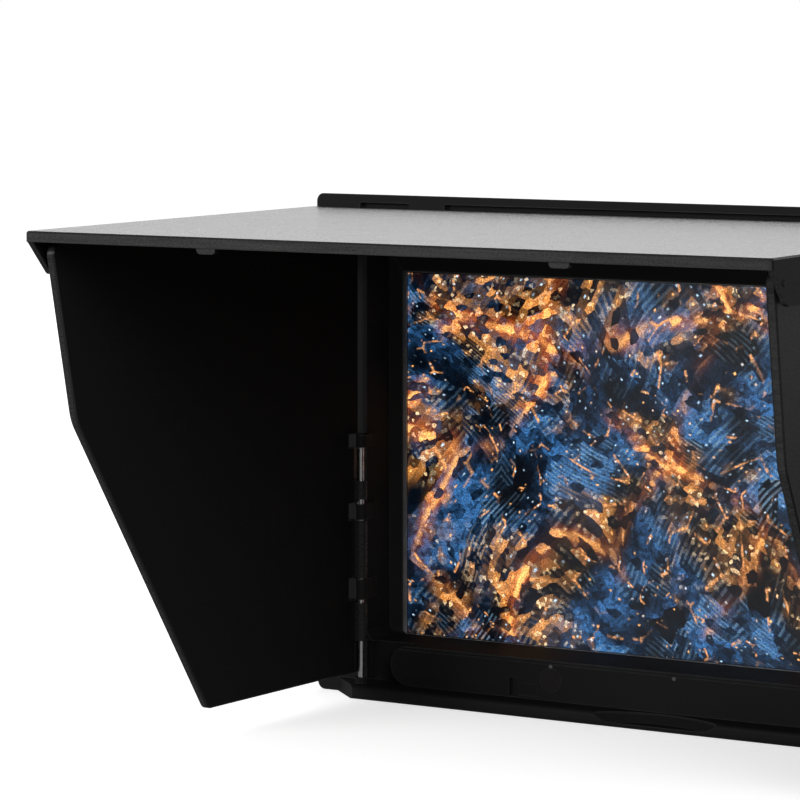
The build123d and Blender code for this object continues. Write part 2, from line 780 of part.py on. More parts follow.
def key_board_x():
    """Front of the boards behind the keys, set back from the wall by what stands between them."""
    wall = side_x(KEY_Y) - BODY_WALL
    flange = KEY_FLANGE_GAP + KEY_FLANGE_THICKNESS
    return wall - flange - KEY_SLACK - KEY_TRAVEL - TACT_HEIGHT - KEY_BOARD_THICKNESS


def key_heights():
    return [KEY_FIRST_Z + KEY_PITCH * i for i in range(KEY_COUNT)]


def key_prism(z, grow, x0, x1):
    outline = RectangleRounded(KEY_WIDTH + 2 * grow, KEY_LENGTH + 2 * grow, KEY_CORNER_RADIUS + grow)
    return extrude(facing_right(x0, KEY_Y, z) * outline, x1 - x0)


def vent_slots():
    """Two fields of slots in the back, above the battery door."""
    slots = Part()
    door_top = well_limits()[2] + DOOR_MARGIN + DOOR_GAP
    for row in range(VENT_COUNT):
        z = door_top + VENT_DOOR_GAP + VENT_PITCH * row
        x0 = VENT_X - VENT_WIDTH / 2
        slots += both_sides(block(x0, x0 + VENT_WIDTH, BACK_INNER_Y - 1, BACK_Y + 1, z, z + VENT_HEIGHT))
    return slots


def speaker_x():
    """Middle of the loudspeaker, in the space between the battery well and the bevelled left-hand wall."""
    well = well_limits()[0] + WELL_WALL
    wall = HALF_WIDTH - BODY_WALL - SIDE_TAPER - BACK_BEVEL_WIDTH
    spare = wall - well - 2 * SPEAKER_RADIUS
    return -well - spare * SPEAKER_INNER_SHARE - SPEAKER_RADIUS


def speaker_slots():
    """Slots in the back in front of the loudspeaker, shorter towards top and bottom."""
    slots = Part()
    middle = (SPEAKER_SLOT_COUNT - 1) / 2
    for row in range(SPEAKER_SLOT_COUNT):
        z = SPEAKER_Z + SPEAKER_SLOT_PITCH * (row - middle) - SPEAKER_SLOT_HEIGHT / 2
        half = (SPEAKER_SLOT_LENGTH - abs(row - middle) * SPEAKER_SLOT_STEP) / 2
        x0 = speaker_x() - half
        slots += block(x0, x0 + 2 * half, BACK_INNER_Y - 1, BACK_Y + 1, z, z + SPEAKER_SLOT_HEIGHT)
    return slots


def well_limits():
    """Half width, bottom, top and floor of the battery well."""
    half = BATTERY_WIDTH / 2 + WELL_CLEARANCE
    bottom = BATTERY_Z - BATTERY_HEIGHT / 2 - WELL_CLEARANCE
    top = BATTERY_Z + BATTERY_HEIGHT / 2 + WELL_CLEARANCE
    floor = BACK_Y - DOOR_THICKNESS - BATTERY_DEPTH - WELL_CLEARANCE
    return half, bottom, top, floor


def rear_shell():
    """The rear moulding: walls, battery well, screw posts, board posts, slots and socket holes."""
    shell = housing_form(0, PARTING_Y) - housing_form(BODY_WALL, PARTING_Y - 1)
    half, bottom, top, floor = well_limits()
    well = block(
        -half - WELL_WALL,
        half + WELL_WALL,
        floor - WELL_WALL,
        BACK_INNER_Y,
        bottom - WELL_WALL,
        top + WELL_WALL,
    )
    posts = Part()
    bores = Part()
    for x, z in case_posts():
        posts += square_post(x, z, POST_WIDTH, PARTING_Y, BACK_INNER_Y + 1)
        bores += prism_y(x, z, CASE_SCREW_RADIUS + SCREW_CLEARANCE, PARTING_Y - 1, CASE_SCREW_HEAD_Y + 1)
        head_radius = CASE_SCREW_HEAD_RADIUS + SCREW_CLEARANCE
        bores += prism_y(x, z, head_radius, CASE_SCREW_HEAD_Y, BACK_Y + 1, HEAD_SIDES)
    for x, z in board_rests():
        posts += square_post(x, z, BOARD_POST_WIDTH, BOARD_FRONT_Y + BOARD_THICKNESS, BACK_INNER_Y + 1)
    x, z = board_hole()
    hole_end = BOARD_FRONT_Y + BOARD_SCREW_REACH + 1
    bores += prism_y(x, z, BOARD_SCREW_RADIUS + SCREW_CLEARANCE, BOARD_FRONT_Y, hole_end)
    reach = INSERT_RADIUS + INSERT_BOSS_WALL
    boss = block(-reach, reach, -reach, reach, 0, INSERT_HEIGHT + INSERT_COVER)
    shell += well + both_sides(posts) + boss + (board_ribs() & housing_form(0, PARTING_Y))
    shell -= both_sides(bores)
    shell -= rod_z(0, 0, INSERT_RADIUS + SEAT, -1, INSERT_HEIGHT)
    shell -= block(-half, half, floor, BACK_Y + 1, bottom, top)
    seat_half = half + DOOR_MARGIN + DOOR_GAP
    seat_bottom = bottom - DOOR_MARGIN - DOOR_GAP
    seat_top = top + DOOR_MARGIN + DOOR_GAP
    seat_y = BACK_Y - DOOR_THICKNESS
    shell -= rounded_slab(-seat_half, seat_half, seat_bottom, seat_top, DOOR_RADIUS, seat_y, BACK_Y + 1)
    shell -= vent_slots() + speaker_slots()
    aerial_radius = AERIAL_THREAD_RADIUS + SEAT
    shell -= both_sides(prism_y(AERIAL_X, AERIAL_Z, aerial_radius, BACK_INNER_Y - 1, BACK_Y + 1, HEAD_SIDES))
    inside = side_x(BACK_Y) - BODY_WALL - 1
    for z in key_heights():
        shell -= key_prism(z, KEY_GAP, inside, HALF_WIDTH + 1)
    shell -= slider_slot(inside)
    for z, radius in ((POWER_SOCKET_Z, POWER_SOCKET_RADIUS), (SIGNAL_SOCKET_Z, SIGNAL_SOCKET_RADIUS)):
        shell -= rod_x(SOCKET_Y, z, radius + SEAT, -HALF_WIDTH - 1, -inside)
    return one_solid(shell)


def display_window():
    half = LIT_WIDTH / 2 + WINDOW_MARGIN
    return block(
        -half,
        half,
        WINDOW_FRONT_Y + SEAT,
        WINDOW_BACK_Y,
        LIT_BOTTOM_Z - WINDOW_FOOT,
        LIT_BOTTOM_Z + LIT_HEIGHT + WINDOW_MARGIN,
    )


def screen_ring(inner_gap, width, y0, y1):
    """A flat ring round the lit area."""
    half = LIT_WIDTH / 2 + inner_gap
    low = LIT_BOTTOM_Z - inner_gap
    high = LIT_BOTTOM_Z + LIT_HEIGHT + inner_gap
    outer = block(-half - width, half + width, y0, y1, low - width, high + width)
    return outer - block(-half, half, y0 - 1, y1 + 1, low, high)


def display_gasket():
    return one_solid(screen_ring(GASKET_GAP, GASKET_WIDTH, WINDOW_BACK_Y + SEAT, -TRAY_SHEET - SEAT))


def lcd_frame():
    """The thin metal tray that holds the screen cell and its light guide, open at the back."""
    lip_ring = screen_ring(TRAY_LIP_GAP, TRAY_MARGIN - TRAY_LIP_GAP, -TRAY_SHEET, 0)
    side_ring = screen_ring(TRAY_MARGIN - TRAY_SHEET, TRAY_SHEET, -TRAY_SHEET, TRAY_DEPTH - TRAY_SHEET)
    return one_solid(lip_ring + side_ring)


def screen_slab(margin, y0, thickness):
    half = LIT_WIDTH / 2 + margin
    return block(-half, half, y0, y0 + thickness, LIT_BOTTOM_Z - margin, LIT_BOTTOM_Z + LIT_HEIGHT + margin)


def lcd_panel():
    return screen_slab(CELL_BORDER, SEAT, CELL_THICKNESS)


def light_guide():
    return screen_slab(LIGHT_GUIDE_MARGIN, CELL_THICKNESS + 2 * SEAT, LIGHT_GUIDE_THICKNESS)


def board_hole():
    """Middle of the main board's screw hole on the right-hand half."""
    return BOARD_WIDTH / 2 - BOARD_HOLE_INSET, BOARD_BOTTOM_Z + BOARD_HEIGHT / 2


def board_rests():
    """Middles of the posts behind the main board's right-hand edge."""
    x, middle = board_hole()
    reach = BOARD_HEIGHT / 2 - BOARD_HOLE_INSET
    return [(x, middle - reach), (x, middle), (x, middle + reach)]


def main_board():
    board = block(
        -BOARD_WIDTH / 2,
        BOARD_WIDTH / 2,
        BOARD_FRONT_Y,
        BOARD_FRONT_Y + BOARD_THICKNESS - SEAT,
        BOARD_BOTTOM_Z,
        BOARD_BOTTOM_Z + BOARD_HEIGHT,
    )
    x, z = board_hole()
    back = BOARD_FRONT_Y + BOARD_THICKNESS
    board -= both_sides(prism_y(x, z, BOARD_SCREW_RADIUS + SCREW_CLEARANCE, BOARD_FRONT_Y - 1, back + 1))
    half = PROCESSOR_SIZE / 2
    processor = block(
        -half,
        half,
        BOARD_FRONT_Y - PROCESSOR_HEIGHT,
        BOARD_FRONT_Y,
        PROCESSOR_Z - half,
        PROCESSOR_Z + half,
    )
    return one_solid(board + processor)


def board_screws():
    x, z = board_hole()
    seat = BOARD_FRONT_Y - SEAT
    head = screw_head(x, z, BOARD_SCREW_HEAD_RADIUS, seat - BOARD_SCREW_HEAD_HEIGHT, BOARD_SCREW_HEAD_HEIGHT)
    right = head + prism_y(x, z, BOARD_SCREW_RADIUS, seat, BOARD_FRONT_Y + BOARD_SCREW_REACH)
    return [right, mirrored(right)]


def receiver_module(side):
    """A shielded receiver: a can with a folded edge on a small carrier."""
    y0 = BOARD_FRONT_Y + BOARD_THICKNESS
    y1 = y0 + CARRIER_THICKNESS
    x0 = side * (AERIAL_X - RECEIVER_INSET) - RECEIVER_WIDTH / 2
    x1 = x0 + RECEIVER_WIDTH
    bottom = AERIAL_Z - RECEIVER_DROP
    top = bottom + RECEIVER_HEIGHT
    edge = CARRIER_EDGE
    carrier = block(x0, x1, y0, y1, bottom, top)
    return carrier + block(x0 + edge, x1 - edge, y1, y0 + RECEIVER_DEPTH, bottom + edge, top - edge)


def speaker():
    back = BACK_INNER_Y - SEAT
    step = back - SPEAKER_BASKET_DEPTH
    basket = rod_y(speaker_x(), SPEAKER_Z, SPEAKER_RADIUS, step, back)
    return basket + rod_y(speaker_x(), SPEAKER_Z, MAGNET_RADIUS, back - SPEAKER_DEPTH, step)


def battery_pack():
    """Two flat cells side by side in one sleeve, with a notch between them."""
    back = BACK_Y - DOOR_THICKNESS - WELL_CLEARANCE / 2
    half = BATTERY_WIDTH / 2
    low = BATTERY_Z - BATTERY_HEIGHT / 2
    high = low + BATTERY_HEIGHT
    pack = rounded_slab(-half, half, low, high, BATTERY_CORNER_RADIUS, back - BATTERY_DEPTH, back)
    for y in (back - BATTERY_DEPTH, back):
        waist = Pos(0, y, BATTERY_Z) * Rot(0, 0, 45) * Box(BATTERY_WAIST, BATTERY_WAIST, BATTERY_HEIGHT + 2)
        pack -= waist
    return one_solid(pack)


def battery_door():
    """The flush battery cover with a ribbed thumb grip and a notch to prise it open."""
    half, bottom, top, floor = well_limits()
    door = rounded_slab(
        -half - DOOR_MARGIN,
        half + DOOR_MARGIN,
        bottom - DOOR_MARGIN,
        top + DOOR_MARGIN,
        DOOR_RADIUS - DOOR_GAP,
        BACK_Y - DOOR_THICKNESS + SEAT,
        BACK_Y,
    )
    for row in range(GRIP_COUNT):
        z = top - GRIP_DROP - GRIP_PITCH * row
        door -= block(
            -GRIP_WIDTH / 2,
            GRIP_WIDTH / 2,
            BACK_Y - GRIP_DEPTH,
            BACK_Y + 1,
            z - GRIP_HEIGHT / 2,
            z + GRIP_HEIGHT / 2,
        )
    return door - rod_y(half, BATTERY_Z, DOOR_NOTCH_RADIUS, BACK_Y - DOOR_THICKNESS, BACK_Y + 1)


def aerial_jack(side):
    """A threaded aerial socket through the back wall, with its hexagonal inner shoulder."""
    x = side * AERIAL_X
    tip = BACK_Y + AERIAL_THREAD_LENGTH
    seat = BACK_INNER_Y - SEAT
    hexagon = RegularPolygon(AERIAL_NUT_FLATS / 2, 6, major_radius=False)
    shoulder = extrude(facing_back(x, seat, AERIAL_Z) * hexagon, -AERIAL_NUT_HEIGHT - AERIAL_SHOULDER)
    barrel = rod_y(x, AERIAL_Z, AERIAL_THREAD_RADIUS, seat - AERIAL_SHOULDER, tip)
    bore_floor = tip - AERIAL_BORE_DEPTH
    socket = rod_y(x, AERIAL_Z, AERIAL_BORE_RADIUS, bore_floor, tip + 1)
    core = prism_y(x, AERIAL_Z, AERIAL_CORE_RADIUS, bore_floor - 1, tip - AERIAL_CORE_DROP)
    relief = BACK_Y + AERIAL_NUT_HEIGHT + 2 * SEAT
    relief_end = relief + AERIAL_RELIEF_LENGTH
    undercut = rod_y(x, AERIAL_Z, AERIAL_THREAD_RADIUS + 1, relief, relief_end)
    undercut -= rod_y(x, AERIAL_Z, AERIAL_RELIEF_RADIUS, relief - 1, relief_end + 1)
    return one_solid(barrel - undercut + shoulder - socket + core)


def aerial_nuts():
    """The hexagon nuts that clamp the aerial sockets to the back wall."""
    nuts = []
    for side in (-1, 1):
        face = facing_back(side * AERIAL_X, BACK_Y + SEAT, AERIAL_Z)
        nut = extrude(face * RegularPolygon(AERIAL_NUT_FLATS / 2, 6, major_radius=False), AERIAL_NUT_HEIGHT)
        end = BACK_Y + AERIAL_NUT_HEIGHT + 1
        radius = AERIAL_THREAD_RADIUS + SEAT
        nuts.append(nut - prism_y(side * AERIAL_X, AERIAL_Z, radius, BACK_Y - 1, end, HEAD_SIDES))
    return nuts


def side_socket(z, radius, bore_radius, bore_depth, block_size):
    """A round socket in the left-hand wall, with its moulded block inside."""
    outer = -side_x(SOCKET_Y)
    neck = rod_x(SOCKET_Y, z, radius, outer, outer + BODY_WALL + SOCKET_NECK)
    inner = outer + BODY_WALL + SOCKET_SEAT_GAP
    half = block_size / 2
    end = inner + SOCKET_LENGTH - BODY_WALL
    body = block(inner, end, SOCKET_Y - half, SOCKET_Y + half, z - half, z + half)
    return neck + body - rod_x(SOCKET_Y, z, bore_radius, outer - 1, outer + bore_depth)


def power_socket():
    """The barrel power socket with its centre pin."""
    outer = -side_x(SOCKET_Y)
    shell = side_socket(
        POWER_SOCKET_Z,
        POWER_SOCKET_RADIUS,
        POWER_BORE_RADIUS,
        POWER_BORE_DEPTH,
        POWER_BLOCK,
    )
    pin_end = outer + POWER_BORE_DEPTH + 0.5
    return shell + rod_x(SOCKET_Y, POWER_SOCKET_Z, POWER_PIN_RADIUS, outer + POWER_PIN_DROP, pin_end)


def signal_socket():
    return side_socket(
        SIGNAL_SOCKET_Z,
        SIGNAL_SOCKET_RADIUS,
        SIGNAL_BORE_RADIUS,
        SIGNAL_BORE_DEPTH,
        SIGNAL_BLOCK,
    )


def key_board_span():
    """Lower and upper end of the board behind the keys."""
    return KEY_FIRST_Z - KEY_BOARD_MARGIN, key_heights()[-1] + KEY_BOARD_MARGIN


def switch_board_span():
    """Lower and upper end of the board behind the power switch."""
    middle = SLIDER_Z + SLIDER_TRAVEL / 2
    return middle - SWITCH_BOARD_HALF, middle + SWITCH_BOARD_HALF


def side_board(span):
    """A narrow board that stands behind the right-hand wall."""
    half = SIDE_BOARD_WIDTH / 2
    x1 = key_board_x() + KEY_BOARD_THICKNESS
    return block(key_board_x(), x1, KEY_Y - half, KEY_Y + half, span[0], span[1])


def board_ribs():
    """Ribs inside the right-hand wall that hold the ends of the two side boards."""
    ribs = Part()
    half = SIDE_BOARD_WIDTH / 2
    for low, high in (key_board_span(), switch_board_span()):
        for z0 in (low - RIB_THICKNESS - SEAT, high + SEAT):
            z1 = z0 + RIB_THICKNESS
            ribs += block(key_board_x() - 1, HALF_WIDTH - BODY_WALL, KEY_Y - half, KEY_Y + half, z0, z1)
    return ribs


def tact_switches():
    """One push switch behind each key."""
    x0 = key_board_x() + KEY_BOARD_THICKNESS
    x1 = x0 + TACT_HEIGHT - PLUNGER_HEIGHT
    half = TACT_SIZE / 2
    small = PLUNGER_SIZE / 2
    switches = []
    for z in key_heights():
        body = block(x0, x1, KEY_Y - half, KEY_Y + half, z - half, z + half)
        plunger = block(x1, x1 + PLUNGER_HEIGHT, KEY_Y - small, KEY_Y + small, z - small, z + small)
        switches.append(body + plunger)
    return switches


def key_cap(z):
    """One key: a rounded cap through the wall and a flange that keeps it in."""
    face = side_x(KEY_Y) + KEY_PROUD
    flange_x = key_board_x() + KEY_BOARD_THICKNESS + TACT_HEIGHT + KEY_TRAVEL + KEY_SLACK
    cap = key_prism(z, 0, flange_x, face)
    half_width = KEY_WIDTH / 2 + KEY_GAP + KEY_FLANGE
    half_length = KEY_LENGTH / 2 + KEY_GAP + KEY_FLANGE
    flange = block(
        flange_x,
        flange_x + KEY_FLANGE_THICKNESS,
        KEY_Y - half_width,
        KEY_Y + half_width,
        z - half_length,
        z + half_length,
    )
    return cap + flange


def slider_slot(inside):
    """The slot in the right-hand wall for the power slider, with a sunk field round it."""
    span = SLIDER_TRAVEL + SLIDER_LENGTH + 2 * KEY_GAP
    middle = SLIDER_Z + SLIDER_TRAVEL / 2
    floor = side_x(KEY_Y) - SLIDER_FIELD_DEPTH
    edge = 2 * SLIDER_FIELD_EDGE
    outline = RectangleRounded(SLIDER_WIDTH + edge, span + edge, SLIDER_FIELD_EDGE)
    field = extrude(facing_right(floor, KEY_Y, middle) * outline, HALF_WIDTH - floor + 1)
    hole = block(
        inside,
        HALF_WIDTH + 1,
        KEY_Y - SLIDER_WIDTH / 2 - KEY_GAP,
        KEY_Y + SLIDER_WIDTH / 2 + KEY_GAP,
        middle - span / 2,
        middle + span / 2,
    )
    return field + hole


def power_slider():
    """The sliding power switch knob, with three grip grooves."""
    x0 = key_board_x() + KEY_BOARD_THICKNESS + TACT_HEIGHT + SLIDER_GAP
    x1 = side_x(KEY_Y) + SLIDER_PROUD
    half = SLIDER_LENGTH / 2
    half_width = SLIDER_WIDTH / 2
    knob = block(x0, x1, KEY_Y - half_width, KEY_Y + half_width, SLIDER_Z - half, SLIDER_Z + half)
    deep = x1 - SLIDER_GROOVE
    for row in (-1, 0, 1):
        low = SLIDER_Z + row * SLIDER_LENGTH / 4 - SLIDER_GROOVE / 2
        knob -= block(deep, x1 + 1, KEY_Y - SLIDER_WIDTH, KEY_Y + SLIDER_WIDTH, low, low + SLIDER_GROOVE)
    return one_solid(knob)


def slide_switch():
    """The fixed body of the power switch on its board."""
    x0 = key_board_x() + KEY_BOARD_THICKNESS
    half_width = SWITCH_WIDTH / 2
    low = SLIDER_Z + SLIDER_TRAVEL / 2 - SWITCH_LENGTH / 2
    return block(x0, x0 + TACT_HEIGHT, KEY_Y - half_width, KEY_Y + half_width, low, low + SWITCH_LENGTH)


def case_screws():
    screws = []
    for x, z in case_posts():
        right = screw(
            x,
            z,
            CASE_SCREW_HEAD_Y + SEAT,
            CASE_SCREW_REACH,
            CASE_SCREW_RADIUS,
            CASE_SCREW_HEAD_RADIUS,
            CASE_SCREW_HEAD_HEIGHT,
        )
        screws += [right, mirrored(right)]
    return screws


def tripod_insert():
    """The threaded metal insert, a blind sleeve."""
    body = rod_z(0, 0, INSERT_RADIUS, 0, INSERT_HEIGHT - SEAT)
    return body - rod_z(0, 0, THREAD_RADIUS, -1, THREAD_DEPTH)


def remote_eye():
    """The round window of the remote-control receiver, flush in the bar's face."""
    back = BAR_FACE_Y + BAR_WALL
    lens = rod_y(EYE_X, EYE_Z, EYE_RADIUS, BAR_FACE_Y, back)
    return lens + eye_flange(0, BAR_FACE_Y + EYE_STEP_DEPTH + SEAT, back)


def remote_receiver():
    """The sensor behind the round window, on its own small board."""
    y0 = BAR_FACE_Y + BAR_WALL + EYE_GAP
    y1 = y0 + RECEIVER_LENS_DEPTH
    y2 = y1 + RECEIVER_BOARD_THICKNESS
    half = RECEIVER_BODY / 2
    half_board = RECEIVER_BOARD_WIDTH / 2
    top = BAR_TOP_Z - BAR_WALL - EYE_GAP
    body = block(EYE_X - half, EYE_X + half, y0, y1, top - RECEIVER_BODY, top)
    return body + block(EYE_X - half_board, EYE_X + half_board, y1, y2, top - RECEIVER_BOARD_HEIGHT, top)


def indicator_lenses():
    """The two small lenses of the indicator lamps, flush in the bar's face."""
    lenses = []
    for x in INDICATOR_X:
        lens = prism_y(x, INDICATOR_Z, INDICATOR_RADIUS, BAR_FACE_Y, BAR_FACE_Y + INDICATOR_DEPTH - SEAT)
        lenses.append(lens)
    return lenses


def lid_skirt():
    """The right-hand skirt of the lid, with a slanted front end and a round end at its hinge."""
    rear = RIM_Y - LID_REAR_GAP
    bottom = LID_TOP_Z - SKIRT_HEIGHT
    inner = HALF_WIDTH - SKIRT_THICKNESS
    front = LID_FRONT_Y + LID_CORNER_RADIUS
    outline = make_face(
        Polyline(
            (front, LID_UNDER_Z + 1),
            (front, LID_UNDER_Z),
            (front + SKIRT_SLANT, bottom),
            (rear, bottom),
            (rear, LID_UNDER_Z + 1),
            close=True,
        )
    )
    corner = outline.vertices().sort_by_distance((front + SKIRT_SLANT, bottom))[0]
    outline = fillet(corner, SKIRT_CORNER_RADIUS)
    skirt = extrude(facing_right(inner, 0, 0) * outline, SKIRT_THICKNESS)
    swing = rod_x(LID_AXIS_Y, LID_AXIS_Z, SKIRT_END_RADIUS, inner - 1, HALF_WIDTH + 1)
    behind = block(inner - 1, HALF_WIDTH + 1, LID_AXIS_Y, rear + 1, bottom - 1, LID_UNDER_Z)
    return skirt - (behind - swing)


def lid_bump():
    """The small flat stud on the right-hand skirt."""
    y = LID_FRONT_Y + LID_BUMP_SETBACK
    z = LID_TOP_Z - LID_BUMP_DROP
    outline = RegularPolygon(LID_BUMP_RADIUS, ROD_SIDES)
    root = SKIRT_THICKNESS / 2
    return extrude(facing_right(HALF_WIDTH - root, y, z) * outline, root + LID_BUMP_HEIGHT)


def lid_tab():
    """The right-hand catch tab under the lid's front edge."""
    half = LID_TAB_WIDTH / 2
    front = LID_FRONT_Y + LID_TAB_INSET
    tab = block(
        LID_TAB_X - half,
        LID_TAB_X + half,
        front,
        front + LID_TAB_THICKNESS,
        LID_UNDER_Z - LID_TAB_DROP,
        LID_UNDER_Z + 0.5,
    )
    return fillet(tab.edges().filter_by(Axis.Y).group_by(Axis.Z)[0], LID_TAB_RADIUS)


def lid():
    """The top of the hood: a flat plate with two side skirts and two catch tabs."""
    rear = RIM_Y - LID_REAR_GAP
    plate = plan_profile(
        [(-HALF_WIDTH, LID_FRONT_Y), (HALF_WIDTH, LID_FRONT_Y), (HALF_WIDTH, rear), (-HALF_WIDTH, rear)],
        LID_UNDER_Z,
        LID_TOP_Z,
    )
    plate = fillet(plate.edges().filter_by(Axis.Z), LID_CORNER_RADIUS)
    top = one_solid(both_sides(lid_skirt() + lid_tab() + lid_bump()) + plate)
    rim = top.edges().filter_by_position(Axis.Z, LID_TOP_Z - 0.01, LID_TOP_Z + 0.01)
    top = chamfer(rim, LID_EDGE_CHAMFER)
    inner = HALF_WIDTH - SKIRT_THICKNESS
    radius = LID_PIN_RADIUS + RUNNING_CLEARANCE
    bore = rod_x(LID_AXIS_Y, LID_AXIS_Z, radius, inner - 1, HALF_WIDTH - LID_PIN_COVER)
    return one_solid(top - both_sides(bore))


def lid_pins():
    """The two short steel pins that the lid swings on."""
    x1 = HALF_WIDTH - LID_PIN_COVER - LID_PIN_END_GAP
    x0 = HALF_WIDTH - SKIRT_THICKNESS - LID_EAR_GAP - LID_PIN_GRIP
    right = rod_x(LID_AXIS_Y, LID_AXIS_Z, LID_PIN_RADIUS, x0, x1)
    return [right, mirrored(right)]


def wing_splay():
    """Angle of an open wing, whose front end stops a gap inside the lid's skirt."""
    outer = WING_OFFSET + WING_THICKNESS
    reach = HALF_WIDTH - SKIRT_THICKNESS - WING_SKIRT_GAP - WING_PIN_HALF_SPAN
    turned = asin(reach / hypot(outer, WING_TOP_LENGTH))
    return degrees(turned - atan(outer / WING_TOP_LENGTH))


def wing_outline():
    """The wing's outline: along the wing from the pin, and up."""
    rear = -WING_REAR_REACH
    points = [
        (rear, WING_FOOT_Z),
        (WING_FOOT_LENGTH, WING_FOOT_Z),
        (WING_BREAK_LENGTH, WING_BREAK_Z),
        (WING_TOP_LENGTH, WING_TOP_Z),
        (WING_HEEL_LENGTH, WING_TOP_Z),
        (rear, WING_TOP_Z - WING_HEEL_DROP),
    ]
    face = make_face(Polyline(*points, close=True))
    for point, radius in zip(points[1:4], (WING_FOOT_RADIUS, WING_BREAK_RADIUS, WING_TOP_RADIUS)):
        face = fillet(face.vertices().sort_by_distance(point)[0], radius)
    return face


def wing_plate(pin_y):
    """The left wing's plate, straight ahead of its pin, before it is splayed."""
    x1 = -WING_PIN_HALF_SPAN - WING_OFFSET
    plane = Plane(origin=(x1 - WING_THICKNESS, pin_y, 0), x_dir=(0, -1, 0), z_dir=(-1, 0, 0))
    plate = extrude(plane * wing_outline(), -WING_THICKNESS)
    front_edges = plate.edges().filter_by_position(Axis.Y, -500, pin_y - 2, inclusive=(True, True))
    front_edges = [edge for edge in front_edges if edge.bounding_box().size.X < 0.01]
    return chamfer(front_edges, WING_EDGE_CHAMFER)


def wing_knuckle(pin_y, z0, height):
    x = -WING_PIN_HALF_SPAN
    r = KNUCKLE_RADIUS
    web = block(x - WING_OFFSET - 0.5, x, pin_y - r, pin_y + r, z0, z0 + height)
    return rod_z(x, pin_y, r, z0, z0 + height) + web


def lug_window(pin_y, z0, height):
    """The cut in the wing that lets a lug through."""
    x = -WING_PIN_HALF_SPAN
    return block(x - 9, x + 9, pin_y - LUG_WINDOW_LENGTH, pin_y + 9, z0 - LUG_GAP, z0 + height + LUG_GAP)


def wing(pin_y):
    """The left wing with its knuckles, bored for the pin and splayed to its open stop."""
    middle_z = LOWER_LUG_Z + LOWER_LUG_HEIGHT + LUG_GAP
    middle_height = UPPER_LUG_Z - LUG_GAP - middle_z
    shape = wing_plate(pin_y)
    for z0, height in lug_spans():
        shape -= lug_window(pin_y, z0, height)
    shape += wing_knuckle(pin_y, UPPER_KNUCKLE_Z, UPPER_KNUCKLE_HEIGHT)
    shape += wing_knuckle(pin_y, middle_z, middle_height)
    shape += wing_knuckle(pin_y, LOWER_KNUCKLE_Z, LOWER_KNUCKLE_HEIGHT)
    shape -= rod_z(-WING_PIN_HALF_SPAN, pin_y, WING_PIN_RADIUS + RUNNING_CLEARANCE, 0, PIN_TOP_Z + 1)
    axis = Axis((-WING_PIN_HALF_SPAN, pin_y, 0), (0, 0, 1))
    return one_solid(shape).rotate(axis, -wing_splay())


def wing_pin(pin_y):
    """The long steel pin of the left wing."""
    bottom = LIP_HEIGHT - PIN_SOCKET_DEPTH + PIN_END_GAP
    return rod_z(-WING_PIN_HALF_SPAN, pin_y, WING_PIN_RADIUS, bottom, PIN_TOP_Z)


def build():
    os.makedirs("parts", exist_ok=True)
    save("front_frame", front_frame())
    save("rear_shell", rear_shell())
    save("display_window", display_window())
    save("display_gasket", display_gasket())
    save("lcd_frame", lcd_frame())
    save("lcd_panel", lcd_panel())
    save("light_guide", light_guide())
    save("main_board", main_board())
    save("board_screws", *board_screws())
    save("receiver_left", receiver_module(-1))
    save("receiver_right", receiver_module(1))
    save("speaker", speaker())
    save("battery_pack", battery_pack())
    save("battery_door", battery_door())
    save("aerial_jack_left", aerial_jack(-1))
    save("aerial_jack_right", aerial_jack(1))
    save("aerial_nuts", *aerial_nuts())
    save("power_socket", power_socket())
    save("signal_socket", signal_socket())
    save("key_board", side_board(key_board_span()))
    save("switch_board", side_board(switch_board_span()))
    save("tact_switches", *tact_switches())
    save("slide_switch", slide_switch())
    for number, z in enumerate(key_heights(), start=1):
        save("key_" + str(number), key_cap(z))
    save("power_slider", power_slider())
    save("case_screws", *case_screws())
    save("tripod_insert", tripod_insert())
    save("remote_eye", remote_eye())
    save("remote_receiver", remote_receiver())
    save("indicator_lenses", *indicator_lenses())
    save("lid", lid())
    save("lid_pins", *lid_pins())
    save("wing_left", wing(LEFT_PIN_Y))
    save("wing_right", mirrored(wing(RIGHT_PIN_Y)))
    save("wing_pin_left", wing_pin(LEFT_PIN_Y))
    save("wing_pin_right", mirrored(wing_pin(RIGHT_PIN_Y)))


build()
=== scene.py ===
import json
import math

import bmesh
import bpy
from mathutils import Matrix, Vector

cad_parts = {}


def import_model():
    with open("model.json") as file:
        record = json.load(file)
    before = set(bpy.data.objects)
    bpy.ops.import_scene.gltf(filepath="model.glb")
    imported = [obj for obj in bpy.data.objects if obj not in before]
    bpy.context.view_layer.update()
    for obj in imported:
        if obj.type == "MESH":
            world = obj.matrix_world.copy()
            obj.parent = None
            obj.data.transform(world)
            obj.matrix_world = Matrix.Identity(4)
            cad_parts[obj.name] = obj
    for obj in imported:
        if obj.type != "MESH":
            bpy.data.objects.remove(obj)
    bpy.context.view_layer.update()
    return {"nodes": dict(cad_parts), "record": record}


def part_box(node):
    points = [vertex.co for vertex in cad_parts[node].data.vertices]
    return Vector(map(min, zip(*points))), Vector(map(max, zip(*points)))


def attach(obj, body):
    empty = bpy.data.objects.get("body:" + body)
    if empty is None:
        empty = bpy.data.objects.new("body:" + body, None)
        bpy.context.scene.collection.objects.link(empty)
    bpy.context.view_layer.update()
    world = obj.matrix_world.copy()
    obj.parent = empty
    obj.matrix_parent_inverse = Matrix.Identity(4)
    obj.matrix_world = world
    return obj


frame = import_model()
NODES = frame["nodes"]
MM = 0.001

# Camera, solved from the photograph's straight edges
CAMERA_MM = (405.31, -823.68, 175.56)
CAMERA_YAW = 30.397
CAMERA_PITCH = 6.017
CAMERA_LENS = 166.04
SENSOR_WIDTH = 36.0

# Room: its plain level, and what glossy surfaces see of it
ROOM_LEVEL = 0.5
GLOSS_WHITE = 1.0
GLOSS_FLOOR = 0.13
GLOSS_FRONT = 0.24

